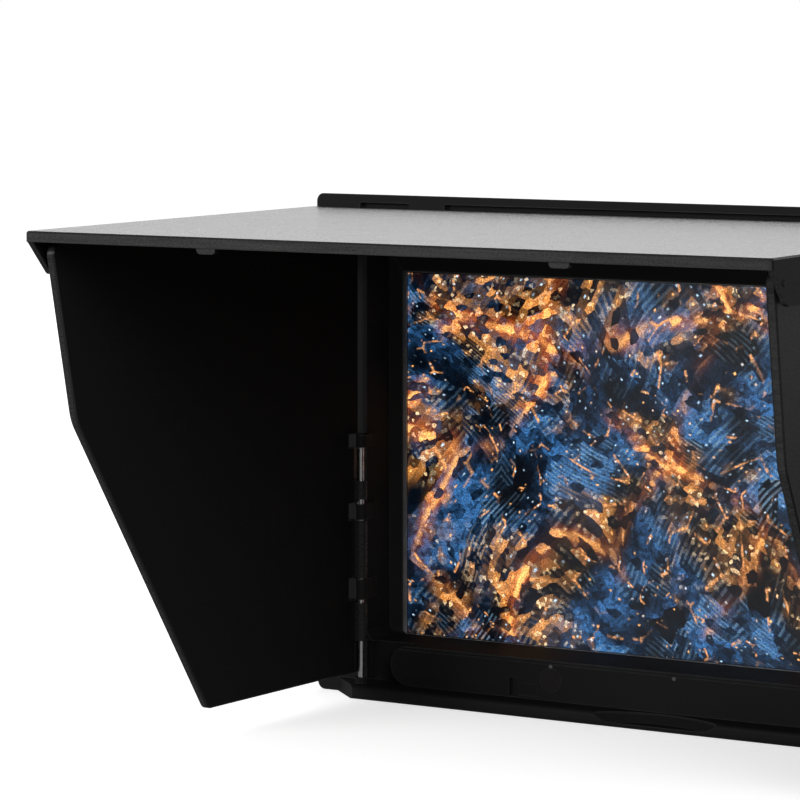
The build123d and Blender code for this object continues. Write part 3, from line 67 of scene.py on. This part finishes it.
# Floor
FLOOR_HALF_SIZE = 7.0
FLOOR_LEVEL = -0.05 * MM
FLOOR_GLOW = 0.62

# Spark-eroded grain of the black plastic
GRAIN = 0.4 * MM
GRAIN_DEPTH = 0.008 * MM
EDGE_RADIUS = 0.45 * MM
PLASTIC_IOR = 1.49
WINDOW_IOR = 1.45

# How far brush marks on metal are drawn out
BRUSH_STRETCH = 0.05

# Middle of the space under the hood
HOOD_MIDDLE = (0.0, -70.0 * MM, 65.0 * MM)

# Screen, as in the CAD model
LIT_HALF_WIDTH = 75.35 * MM
LIT_BOTTOM = 14.0 * MM
LIT_TOP = 108.2 * MM
SCREEN_GAMMA = 1.3
SCREEN_STRENGTH = 1.8

# Aerial sockets, as in the CAD model
AERIAL_X = 58.0 * MM
AERIAL_Z = 112.0 * MM
AERIAL_THREAD_START = 26.9 * MM

# Tripod insert, and the shape of all thread ridges
TRIPOD_THREAD_START = 0.7 * MM
THREAD_STEPS = 40
THREAD_END_HEIGHT = 0.05


# Node helpers


def new_material(name):
    material = bpy.data.materials.new(name)
    material.use_nodes = True
    tree = material.node_tree
    shader = next(n for n in tree.nodes if n.type == "BSDF_PRINCIPLED")
    return material, tree, shader


def add(tree, kind, inputs=None, **settings):
    """A node of a kind, with its settings and the values or links of its inputs."""
    node = tree.nodes.new("ShaderNode" + kind)
    for key, value in settings.items():
        setattr(node, key, value)
    for key, value in (inputs or {}).items():
        if isinstance(value, bpy.types.NodeSocket):
            tree.links.new(value, node.inputs[key])
        else:
            node.inputs[key].default_value = value
    return node


def math_node(tree, operation, first, second=0.0, clamp=False):
    node = add(tree, "Math", {0: first, 1: second}, operation=operation)
    node.use_clamp = clamp
    return node.outputs[0]


def product(tree, *values):
    result = values[0]
    for value in values[1:]:
        result = math_node(tree, "MULTIPLY", result, value)
    return result


def remap(tree, value, low, high, to_low=0.0, to_high=1.0):
    inputs = {"Value": value, "From Min": low, "From Max": high, "To Min": to_low, "To Max": to_high}
    return add(tree, "MapRange", inputs).outputs["Result"]


def noise(tree, vector, scale, detail=2.0, roughness=0.5):
    inputs = {"Vector": vector, "Scale": scale, "Detail": detail, "Roughness": roughness}
    return add(tree, "TexNoise", inputs).outputs["Fac"]


def channel(tree, vector, name):
    return add(tree, "SeparateXYZ", {0: vector}).outputs[name]


def vector_math(tree, operation, first, second):
    return add(tree, "VectorMath", {0: first, 1: second}, operation=operation).outputs["Vector"]


def vector_measure(tree, operation, first, second):
    """The dot product or the distance of two vectors."""
    return add(tree, "VectorMath", {0: first, 1: second}, operation=operation).outputs["Value"]


def mix_colour(tree, factor, first, second, blend="MIX"):
    node = tree.nodes.new("ShaderNodeMix")
    node.data_type = "RGBA"
    node.blend_type = blend
    for index, value in ((0, factor), (6, first), (7, second)):
        if isinstance(value, bpy.types.NodeSocket):
            tree.links.new(value, node.inputs[index])
        else:
            node.inputs[index].default_value = value
    return node.outputs[2]


def rgb(red, green, blue):
    return (red, green, blue, 1.0)


def grey(value):
    return rgb(value, value, value)


def object_coordinates(tree):
    return add(tree, "TexCoord").outputs["Object"]


def object_normal(tree):
    return add(tree, "TexCoord").outputs["Normal"]


def edge_mask(tree, radius):
    """1 on outer edges and corners, 0 on flat faces."""
    bevel = add(tree, "Bevel", {"Radius": radius}, samples=6)
    geometry = add(tree, "NewGeometry")
    likeness = vector_measure(tree, "DOT_PRODUCT", bevel.outputs["Normal"], geometry.outputs["Normal"])
    return remap(tree, likeness, 0.995, 0.86)


def bump(tree, height, strength, distance):
    inputs = {"Height": height, "Strength": strength, "Distance": distance}
    return add(tree, "Bump", inputs).outputs["Normal"]


# Materials


def front_mask(tree, where):
    """1 on the hood's front edges, 0 on all other faces."""
    facing = channel(tree, object_normal(tree), "Y")
    ahead = remap(tree, channel(tree, where, "Y"), -30.0 * MM, -45.0 * MM)
    return product(tree, remap(tree, facing, -0.55, -0.9), ahead)


def inner_mask(tree, where):
    """1 on faces that look to the middle of the hood, 0 on all others."""
    reach = vector_math(tree, "SUBTRACT", where, HOOD_MIDDLE)
    facing = vector_measure(tree, "DOT_PRODUCT", reach, object_normal(tree))
    return remap(tree, facing, -10.0 * MM, -30.0 * MM)


def hinge_mask(tree, where):
    """1 on the round knuckles of the hood's wings, 0 beside and above them."""
    level = vector_math(tree, "MULTIPLY", where, (1.0, 1.0, 0.0))
    height = channel(tree, where, "Z")
    masks = []
    for node in ("wing_pin_left", "wing_pin_right"):
        low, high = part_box(node)
        axis = ((low.x + high.x) / 2.0, (low.y + high.y) / 2.0, 0.0)
        reach = vector_measure(tree, "DISTANCE", level, axis)
        below = remap(tree, height, high.z + 0.5 * MM, high.z)
        beside = remap(tree, reach, 1.9 * MM, 1.7 * MM)
        masks.append(product(tree, beside, below))
    return math_node(tree, "MAXIMUM", masks[0], masks[1])


def layered_edge(tree, where, tone):
    """Colour of the hood's front edges: fine layers along X with small pale pits around the given tone,
    which for the hood is a lighter tone painted as light on its front faces.
    """
    layers = noise(tree, vector_math(tree, "MULTIPLY", where, (0.03, 1.0, 1.0)), 1500.0, 3.0, 0.7)
    pits = remap(tree, noise(tree, where, 2600.0, 2.0, 0.6), 0.6, 0.72)
    edge = mix_colour(tree, remap(tree, layers, 0.35, 0.65), grey(tone * 0.65), grey(tone * 1.3))
    return mix_colour(tree, product(tree, pits, 0.5), edge, grey(tone * 2.2))


def moulded_plastic(
    name, tone, rough, edge_highlight_tone, front_lit_tone, specular, speckle=0.0, matt=0.0, turned=0.0
):
    """Moulded plastic: fine spark-eroded grain, cloudy sheen, a painted highlight on the edges, and
    layered front edges with a lighter tone that is painted light.

    matt roughens the faces that look into the hood and also darkens them as painted shade, and turned
    lightens the knuckles of the wings as a painted sheen.
    """
    material, tree, shader = new_material(name)
    where = object_coordinates(tree)
    # Painted sheen mask: the round knuckles of the wings, scaled by turned.
    knuckle_sheen = product(tree, hinge_mask(tree, where), turned)
    inner = product(tree, inner_mask(tree, where), math_node(tree, "SUBTRACT", 1.0, knuckle_sheen))
    grain = noise(tree, where, 1.0 / GRAIN, 3.0, 0.65)
    cloud = noise(tree, where, 24.0, 4.0, 0.55)
    smear = noise(tree, where, 95.0, 3.0, 0.6)
    specks = add(tree, "TexVoronoi", {"Vector": where, "Scale": 0.9 / GRAIN}).outputs["Distance"]
    flecks = product(tree, remap(tree, specks, 0.22, 0.05), speckle)
    # Painted highlight mask on outer edges and corners, broken up by the smear noise; the same mask also
    # lowers the roughness.
    edge_highlight = product(tree, edge_mask(tree, EDGE_RADIUS), remap(tree, smear, 0.3, 0.62, 0.45, 1.0))

    base = mix_colour(tree, remap(tree, cloud, 0.25, 0.75), grey(tone * 0.7), grey(tone * 1.3))
    base = mix_colour(tree, flecks, base, grey(tone * 3.0))
    # Painted shade: faces that look into the hood are darkened towards half the tone.
    base = mix_colour(tree, product(tree, inner, 2.0 * matt), base, grey(tone * 0.5))
    # Painted light: the front-facing edges take a lighter layered tone, as if lit from the front; the
    # layers and pits are the edges' own texture.
    base = mix_colour(tree, front_mask(tree, where), base, layered_edge(tree, where, front_lit_tone))
    # Painted sheen: the wings' knuckles are mixed towards four times the tone.
    base = mix_colour(tree, knuckle_sheen, base, grey(tone * 4.0))
    # Painted highlight: edges and corners take the lighter edge tone.
    base = mix_colour(tree, edge_highlight, base, grey(edge_highlight_tone))
    tree.links.new(base, shader.inputs["Base Color"])

    gloss = math_node(tree, "ADD", remap(tree, cloud, 0.3, 0.7, -0.012, 0.012), rough)
    gloss = math_node(tree, "ADD", gloss, remap(tree, smear, 0.35, 0.65, -0.01, 0.01))
    gloss = math_node(tree, "ADD", gloss, remap(tree, grain, 0.3, 0.7, -0.08, 0.08))
    gloss = math_node(tree, "ADD", gloss, product(tree, inner, matt))
    gloss = math_node(tree, "SUBTRACT", gloss, product(tree, edge_highlight, 0.1), clamp=True)
    tree.links.new(gloss, shader.inputs["Roughness"])
    shader.inputs["IOR"].default_value = PLASTIC_IOR
    shader.inputs["Specular IOR Level"].default_value = specular
    tree.links.new(bump(tree, grain, 0.35, GRAIN_DEPTH), shader.inputs["Normal"])
    return material


def metal(name, tint, rough, brush_axis=None, dark=0.7, metallic=1.0):
    """Metal with drawn or turned marks, cloudy tarnish and uneven roughness."""
    material, tree, shader = new_material(name)
    where = object_coordinates(tree)
    stretch = [BRUSH_STRETCH if axis == brush_axis else 1.0 for axis in "XYZ"]
    scaled = vector_math(tree, "MULTIPLY", where, stretch)
    marks = noise(tree, scaled, 5200.0, 3.0, 0.6)
    cloud = noise(tree, where, 240.0, 3.0, 0.6)
    shade = tuple(c * dark for c in tint)
    base = mix_colour(tree, remap(tree, cloud, 0.35, 0.7), rgb(*tint), rgb(*shade))
    tree.links.new(base, shader.inputs["Base Color"])
    gloss = math_node(tree, "ADD", remap(tree, marks, 0.3, 0.7, -0.07, 0.09), rough)
    gloss = math_node(tree, "ADD", gloss, remap(tree, cloud, 0.3, 0.7, -0.04, 0.06))
    tree.links.new(gloss, shader.inputs["Roughness"])
    shader.inputs["Metallic"].default_value = metallic
    tree.links.new(bump(tree, marks, 0.2, 0.02 * MM), shader.inputs["Normal"])
    return material


def smooth_plastic(name, tint, rough, mottle=0.12, specular=0.5):
    """Smooth or lacquered plastic with faint flow marks and dust."""
    material, tree, shader = new_material(name)
    where = object_coordinates(tree)
    cloud = noise(tree, where, 160.0, 4.0, 0.6)
    dust = remap(tree, noise(tree, where, 1900.0, 2.0, 0.7), 0.66, 0.8)
    low = tuple(c * (1.0 - mottle) for c in tint)
    high = tuple(min(c * (1.0 + mottle), 1.0) for c in tint)
    base = mix_colour(tree, cloud, rgb(*low), rgb(*high))
    base = mix_colour(tree, product(tree, dust, 0.12), base, grey(0.35))
    tree.links.new(base, shader.inputs["Base Color"])
    gloss = math_node(tree, "ADD", remap(tree, cloud, 0.3, 0.7, -0.04, 0.05), rough)
    gloss = math_node(tree, "ADD", gloss, product(tree, dust, 0.2))
    tree.links.new(gloss, shader.inputs["Roughness"])
    shader.inputs["Specular IOR Level"].default_value = specular
    tree.links.new(bump(tree, cloud, 0.08, 0.03 * MM), shader.inputs["Normal"])
    return material


def clear_window(name):
    """The clear window in front of the screen, with a trace of dust and smears."""
    material, tree, shader = new_material(name)
    where = object_coordinates(tree)
    smear = noise(tree, where, 55.0, 3.0, 0.6)
    dust = remap(tree, noise(tree, where, 2600.0, 2.0, 0.7), 0.7, 0.82)
    gloss = remap(tree, smear, 0.35, 0.7, 0.02, 0.06)
    gloss = math_node(tree, "ADD", gloss, product(tree, dust, 0.1))
    tree.links.new(gloss, shader.inputs["Roughness"])
    tint = mix_colour(tree, smear, rgb(0.97, 0.975, 0.98), rgb(0.93, 0.94, 0.95))
    tree.links.new(tint, shader.inputs["Base Color"])
    tree.links.new(bump(tree, smear, 0.03, 0.02 * MM), shader.inputs["Normal"])
    shader.inputs["Transmission Weight"].default_value = 1.0
    shader.inputs["IOR"].default_value = WINDOW_IOR
    return material


def rotated(tree, vector, angle):
    inputs = {"Vector": vector, "Angle": math.radians(angle)}
    return add(tree, "VectorRotate", inputs, rotation_type="Z_AXIS").outputs["Vector"]


def voronoi(tree, vector, scale, feature="F1", metric="EUCLIDEAN", randomness=1.0):
    inputs = {"Vector": vector, "Scale": scale, "Randomness": randomness}
    settings = {"voronoi_dimensions": "2D", "feature": feature}
    if feature == "F1":
        settings["distance"] = metric
    return add(tree, "TexVoronoi", inputs, **settings)


def stripes(tree, vector, angle, period, low, high):
    """Soft parallel stripes across a direction."""
    along = channel(tree, rotated(tree, vector, angle), "X")
    wave = math_node(tree, "SINE", product(tree, along, 2.0 * math.pi / period))
    return remap(tree, wave, low, high)


def bent(tree, vector, scale, amount):
    """A vector pushed about by a soft noise."""
    push = add(tree, "TexNoise", {"Vector": vector, "Scale": scale, "Detail": 1.0}).outputs["Color"]
    push = vector_math(tree, "SUBTRACT", push, (0.5, 0.5, 0.5))
    push = vector_math(tree, "MULTIPLY", push, (amount, amount, 0.0))
    return vector_math(tree, "ADD", vector, push)


def screen_picture(name):
    """The lit cell: a made-up night-coloured weave of blue shards, warm drifts and small lights."""
    material, tree, shader = new_material(name)
    where = object_coordinates(tree)
    x = channel(tree, where, "X")
    z = channel(tree, where, "Z")
    flat = add(tree, "CombineXYZ", {"X": x, "Y": z}).outputs[0]
    warped = bent(tree, flat, 20.0, 0.03)
    turned = rotated(tree, warped, 34.0)

    shards = voronoi(tree, turned, 120.0, metric="CHEBYCHEV", randomness=0.8)
    chips = voronoi(tree, turned, 420.0, metric="CHEBYCHEV", randomness=0.7)
    grains = voronoi(tree, rotated(tree, flat, 12.0), 1100.0, randomness=0.9)
    shard = channel(tree, shards.outputs["Color"], "X")
    kind = channel(tree, shards.outputs["Color"], "Y")
    chip = channel(tree, chips.outputs["Color"], "X")
    spark = channel(tree, chips.outputs["Color"], "Y")
    grain = channel(tree, grains.outputs["Color"], "X")
    drift = noise(tree, warped, 26.0, 3.0, 0.6)
    low_down = remap(tree, z, LIT_BOTTOM, LIT_BOTTOM + 30.0 * MM, -0.09, 0.0)
    drift = math_node(tree, "ADD", drift, low_down)
    dusk = noise(tree, flat, 40.0, 2.0, 0.5)

    # Cool ground: dark blue shards, broken up into chips and grains
    tone = product(tree, shard, remap(tree, chip, 0.0, 1.0, 0.2, 1.6))
    tone = product(tree, tone, remap(tree, grain, 0.0, 1.0, 0.45, 1.6))
    tone = product(tree, tone, remap(tree, dusk, 0.4, 0.62, 0.06, 1.3))
    tone = remap(tree, tone, 0.0, 1.0)
    ground = mix_colour(tree, tone, rgb(0.001, 0.0035, 0.008), rgb(0.06, 0.17, 0.34))
    fine = stripes(tree, turned, 0.0, 1.5 * MM, -0.1, 0.6)
    fine = product(tree, fine, remap(tree, kind, 0.62, 0.66))
    cross = stripes(tree, turned, 90.0, 1.2 * MM, -0.1, 0.6)
    cross = product(tree, cross, remap(tree, kind, 0.28, 0.24))
    weave = math_node(tree, "MAXIMUM", fine, cross)
    weave = product(tree, weave, remap(tree, chip, 0.15, 0.95, 0.0, 0.8))
    weave = product(tree, weave, remap(tree, dusk, 0.4, 0.6, 0.3, 1.0))
    warmth = remap(tree, drift, 0.47, 0.53)
    tint = mix_colour(tree, warmth, rgb(0.2, 0.3, 0.38), rgb(0.65, 0.42, 0.24))
    ground = mix_colour(tree, weave, ground, tint)

    # Warm drifts: brown and amber fields with lit chips
    warm = product(tree, remap(tree, drift, 0.48, 0.56), remap(tree, chip, 0.2, 0.6, 0.2, 1.0))
    glint = remap(tree, spark, 0.3, 1.0)
    amber = mix_colour(tree, glint, rgb(0.035, 0.015, 0.008), rgb(0.75, 0.36, 0.11))
    amber = mix_colour(tree, remap(tree, grain, 0.82, 0.95), amber, rgb(0.95, 0.72, 0.42))
    picture = mix_colour(tree, product(tree, warm, 0.8), ground, amber)

    # Streams of light between the shards
    frayed = bent(tree, warped, 240.0, 0.0035)
    stream = voronoi(tree, frayed, 30.0, "DISTANCE_TO_EDGE").outputs["Distance"]
    thread = voronoi(tree, turned, 105.0, "DISTANCE_TO_EDGE").outputs["Distance"]
    power = remap(tree, drift, 0.42, 0.55)
    power = product(tree, power, remap(tree, dusk, 0.36, 0.56, 0.3, 1.0))
    glow = product(tree, math_node(tree, "POWER", remap(tree, stream, 0.13, 0.0), 1.8), power)
    glow = product(tree, glow, remap(tree, chip, 0.1, 0.8, 0.1, 1.0))
    picture = mix_colour(tree, glow, picture, rgb(0.62, 0.15, 0.02))
    core = product(tree, remap(tree, stream, 0.04, 0.012), remap(tree, chip, 0.45, 0.9), power)
    picture = mix_colour(tree, core, picture, rgb(1.0, 0.62, 0.25))
    lace = product(tree, remap(tree, thread, 0.05, 0.012), remap(tree, spark, 0.55, 0.8))
    lace = product(tree, lace, remap(tree, grain, 0.2, 0.6, 0.2, 1.0))
    picture = mix_colour(tree, lace, picture, rgb(0.7, 0.36, 0.16))

    # Small lights, warm and cool
    point = remap(tree, chips.outputs["Distance"], 0.16, 0.05)
    dots = product(tree, point, remap(tree, spark, 0.66, 0.8))
    dots = product(tree, dots, remap(tree, grain, 0.1, 0.6, 0.3, 1.0))
    lamp = mix_colour(tree, remap(tree, chip, 0.3, 0.6), rgb(0.5, 0.66, 0.8), rgb(1.0, 0.55, 0.2))
    picture = mix_colour(tree, dots, picture, lamp)

    # Fine dither, contrast, and nothing outside the lit area
    dither = remap(tree, noise(tree, flat, 2400.0, 3.0, 0.75), 0.32, 0.68, 0.25, 1.75)
    picture = mix_colour(tree, 1.0, picture, dither, "MULTIPLY")
    picture = add(tree, "Gamma", {"Color": picture, "Gamma": SCREEN_GAMMA}).outputs[0]
    inside = math_node(tree, "LESS_THAN", math_node(tree, "ABSOLUTE", x), LIT_HALF_WIDTH)
    inside = product(tree, inside, math_node(tree, "GREATER_THAN", z, LIT_BOTTOM))
    inside = product(tree, inside, math_node(tree, "LESS_THAN", z, LIT_TOP))
    picture = mix_colour(tree, inside, grey(0.0), picture)
    tree.links.new(picture, shader.inputs["Emission Color"])
    shader.inputs["Emission Strength"].default_value = SCREEN_STRENGTH
    tree.links.new(mix_colour(tree, shard, grey(0.004), grey(0.007)), shader.inputs["Base Color"])
    tree.links.new(remap(tree, grain, 0.0, 1.0, 0.28, 0.36), shader.inputs["Roughness"])
    return material


# In the moulded plastics, the edge tone paints a highlight on edges, a front tone above the tone paints
# light on the hood's front faces, matt also paints shade inside the hood, and turned paints a sheen on
# the wings' knuckles.
MATERIALS = {
    "housing_black": moulded_plastic("housing_satin", 0.0092, 0.5, 0.035, 0.0092, 0.2, matt=0.2),
    "hood_black": moulded_plastic(
        "hood_satin", 0.0042, 0.28, 0.014, 0.023, 0.25, speckle=0.3, matt=0.5, turned=1.0
    ),
    "window_clear": clear_window("window_clear"),
    "screen_cell": screen_picture("screen_picture"),
    "light_guide_white": smooth_plastic("guide_white", (0.8, 0.81, 0.8), 0.35, 0.05),
    "tray_steel": metal("tray_sheet", (0.5, 0.5, 0.5), 0.5, "X", 0.8, 0.35),
    "gasket_black": smooth_plastic("gasket_foam", (0.02, 0.02, 0.02), 0.85),
    "board_green": smooth_plastic("board_lacquer", (0.02, 0.12, 0.05), 0.3),
    "can_tin": metal("can_tin", (0.62, 0.62, 0.64), 0.3, "X"),
    "speaker_black": smooth_plastic("speaker_black", (0.03, 0.03, 0.03), 0.6),
    "cell_sleeve": smooth_plastic("cell_sleeve", (0.08, 0.13, 0.32), 0.35),
    "aerial_brass": metal("aerial_brass", (0.72, 0.5, 0.2), 0.27, "Y"),
    "socket_black": smooth_plastic("socket_black", (0.022, 0.022, 0.023), 0.32),
    "switch_dark": smooth_plastic("switch_dark", (0.05, 0.05, 0.05), 0.4),
    "key_black": moulded_plastic("key_rubber", 0.02, 0.6, 0.035, 0.02, 0.4),
    "slider_grey": moulded_plastic("slider_satin", 0.09, 0.45, 0.14, 0.09, 0.5),
    "screw_dark": metal("screw_blackened", (0.09, 0.09, 0.095), 0.38),
    "insert_brass": metal("insert_brass", (0.7, 0.48, 0.19), 0.3, "Z"),
    "lens_clear": smooth_plastic("lens_frosted", (0.1, 0.1, 0.098), 0.25, 0.08),
    "eye_dark": smooth_plastic("eye_smoked", (0.008, 0.0055, 0.006), 0.42, specular=0.2),
    "pin_steel": metal("pin_steel", (0.92, 0.91, 0.9), 0.23, "Z", 0.9),
}


def dress_cad_nodes():
    """Every CAD node gets the material of its slot."""
    for part in frame["record"]["subparts"]:
        node = NODES[part["node"]]
        node.data.materials.clear()
        node.data.materials.append(MATERIALS[part["material_slot"]])


# Threads


def thread_ridge(name, body, slot, start, radius, crest, base, pitch, length, along_axis):
    """A helical ridge round a rod or inside a bore, fading out at both ends."""
    count = int(length / pitch * THREAD_STEPS)
    fade_steps = THREAD_STEPS * 0.5
    mesh = bmesh.new()
    rings = []
    for index in range(count + 1):
        angle = 2.0 * math.pi * index / THREAD_STEPS
        fade = min(1.0, index / fade_steps, (count - index) / fade_steps)
        along = pitch * index / THREAD_STEPS
        tip = radius + crest * max(fade, THREAD_END_HEIGHT)
        ring = []
        for reach, shift in ((radius, -base / 2.0), (tip, 0.0), (radius, base / 2.0)):
            across = (reach * math.cos(angle), reach * math.sin(angle))
            ring.append(mesh.verts.new(along_axis(start, across, along + shift)))
        rings.append(ring)
    for first, second in zip(rings, rings[1:]):
        for a, b in ((0, 1), (1, 2), (2, 0)):
            mesh.faces.new((first[a], first[b], second[b], second[a]))
    mesh.faces.new(rings[0])
    mesh.faces.new(rings[-1])
    bmesh.ops.recalc_face_normals(mesh, faces=mesh.faces)
    data = bpy.data.meshes.new(name)
    mesh.to_mesh(data)
    mesh.free()
    ridge = bpy.data.objects.new(name, data)
    bpy.context.scene.collection.objects.link(ridge)
    data.materials.append(MATERIALS[slot])
    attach(ridge, body)


def along_back(start, across, along):
    """A point of a helix that runs to the back."""
    return (start[0] + across[0], start[1] + along, start[2] + across[1])


def along_up(start, across, along):
    """A point of a helix that runs up."""
    return (start[0] + across[0], start[1] + across[1], start[2] + along)


def threads():
    """Outer threads of the aerial sockets and the inner thread of the tripod insert."""
    for side, x in (("left", -AERIAL_X), ("right", AERIAL_X)):
        thread_ridge(
            "aerial_thread_" + side,
            "housing",
            "aerial_brass",
            start=(x, AERIAL_THREAD_START, AERIAL_Z),
            radius=3.14 * MM,
            crest=0.16 * MM,
            base=0.6 * MM,
            pitch=0.706 * MM,
            length=4.6 * MM,
            along_axis=along_back,
        )
    thread_ridge(
        "tripod_thread",
        "housing",
        "insert_brass",
        start=(0.0, 0.0, TRIPOD_THREAD_START),
        radius=3.18 * MM,
        crest=-0.3 * MM,
        base=1.1 * MM,
        pitch=1.27 * MM,
        length=5.6 * MM,
        along_axis=along_up,
    )


# Stage


def gloss_level(tree, where):
    """Brightness that glossy surfaces see: white behind to the left, dim in front and to the right."""
    direction = add(tree, "VectorMath", {0: where}, operation="NORMALIZE").outputs["Vector"]
    dim = remap(tree, channel(tree, direction, "Z"), -0.02, 0.25, GLOSS_FLOOR, GLOSS_FRONT)
    behind = remap(tree, channel(tree, direction, "Y"), -0.1, 0.4)
    left = remap(tree, channel(tree, direction, "X"), 0.35, -0.15)
    return remap(tree, product(tree, behind, left), 0.0, 1.0, dim, GLOSS_WHITE)


def shown_rays(tree):
    """The light path node, and 1 for rays that see the background as it is."""
    path = add(tree, "LightPath")
    seen = math_node(tree, "MAXIMUM", path.outputs["Is Camera Ray"], path.outputs["Is Transmission Ray"])
    return path, seen


def floor_paper():
    """Pale paper that keeps the object's shadow and looks white to the camera."""
    material, tree, shader = new_material("floor_paper")
    tree.nodes.remove(shader)
    output = next(n for n in tree.nodes if n.type == "OUTPUT_MATERIAL")
    where = object_coordinates(tree)
    tint = mix_colour(tree, noise(tree, where, 300.0, 3.0, 0.6), grey(0.79), grey(0.82))
    matt = add(tree, "BsdfDiffuse", {"Color": tint})
    glow = add(tree, "Emission", {"Color": grey(1.0), "Strength": FLOOR_GLOW})
    both = add(tree, "AddShader", {0: matt.outputs[0], 1: glow.outputs[0]})
    path, seen = shown_rays(tree)
    mixed = add(tree, "MixShader", {0: seen, 1: matt.outputs[0], 2: both.outputs[0]})
    sheen = add(tree, "Emission", {"Color": grey(1.0), "Strength": gloss_level(tree, where)})
    glossy = path.outputs["Is Glossy Ray"]
    shown = add(tree, "MixShader", {0: glossy, 1: mixed.outputs[0], 2: sheen.outputs[0]})
    tree.links.new(shown.outputs[0], output.inputs["Surface"])
    return material


def floor():
    mesh = bpy.data.meshes.new("floor")
    half = FLOOR_HALF_SIZE
    corners = [(-half, -half), (half, -half), (half, half), (-half, half)]
    mesh.from_pydata([(x, y, FLOOR_LEVEL) for x, y in corners], [], [(0, 1, 2, 3)])
    plane = bpy.data.objects.new("floor", mesh)
    bpy.context.scene.collection.objects.link(plane)
    plane.data.materials.append(floor_paper())


def world():
    """White to the camera, the gloss level to glossy surfaces, and the room's plain level to the rest."""
    scene_world = bpy.data.worlds.new("studio")
    bpy.context.scene.world = scene_world
    scene_world.use_nodes = True
    tree = scene_world.node_tree
    tree.nodes.clear()
    direction = add(tree, "TexCoord").outputs["Generated"]
    path, seen = shown_rays(tree)
    extra = math_node(tree, "SUBTRACT", gloss_level(tree, direction), ROOM_LEVEL)
    extra = product(tree, path.outputs["Is Glossy Ray"], extra)
    strength = math_node(tree, "ADD", extra, ROOM_LEVEL)
    strength = math_node(tree, "MAXIMUM", strength, seen)
    background = add(tree, "Background", {"Color": grey(1.0), "Strength": strength})
    output = add(tree, "OutputWorld")
    tree.links.new(background.outputs[0], output.inputs["Surface"])


def softbox(name, place, aim, width, height, power):
    """A soft rectangular lamp, in metres and watts, turned to what it aims at."""
    lamp = bpy.data.lights.new(name, "AREA")
    lamp.shape = "RECTANGLE"
    lamp.size = width
    lamp.size_y = height
    lamp.energy = power
    box = bpy.data.objects.new(name, lamp)
    bpy.context.scene.collection.objects.link(box)
    box.location = place
    box.rotation_euler = (Vector(aim) - Vector(place)).to_track_quat("-Z", "Y").to_euler()


def lights():
    softbox("key", (-0.85, -1.3, 0.55), (0.0, -0.05, 0.06), 0.7, 0.7, 9.0)
    softbox("fill", (1.1, -0.9, 0.7), (0.0, -0.05, 0.06), 0.9, 0.8, 11.0)
    softbox("rear", (-0.65, 1.3, 0.9), (0.0, -0.05, 0.1), 1.1, 0.7, 6.3)


def camera():
    data = bpy.data.cameras.new("camera")
    data.lens = CAMERA_LENS
    data.sensor_width = SENSOR_WIDTH
    data.sensor_fit = "AUTO"
    data.clip_start = 0.05
    data.clip_end = 50.0
    view = bpy.data.objects.new("camera", data)
    bpy.context.scene.collection.objects.link(view)
    view.location = Vector(CAMERA_MM) * MM
    view.rotation_euler = (math.radians(90.0 - CAMERA_PITCH), 0.0, math.radians(CAMERA_YAW))
    bpy.context.scene.camera = view


camera()
world()
lights()
floor()
dress_cad_nodes()
threads()
bpy.context.scene.view_settings.view_transform = "Standard"
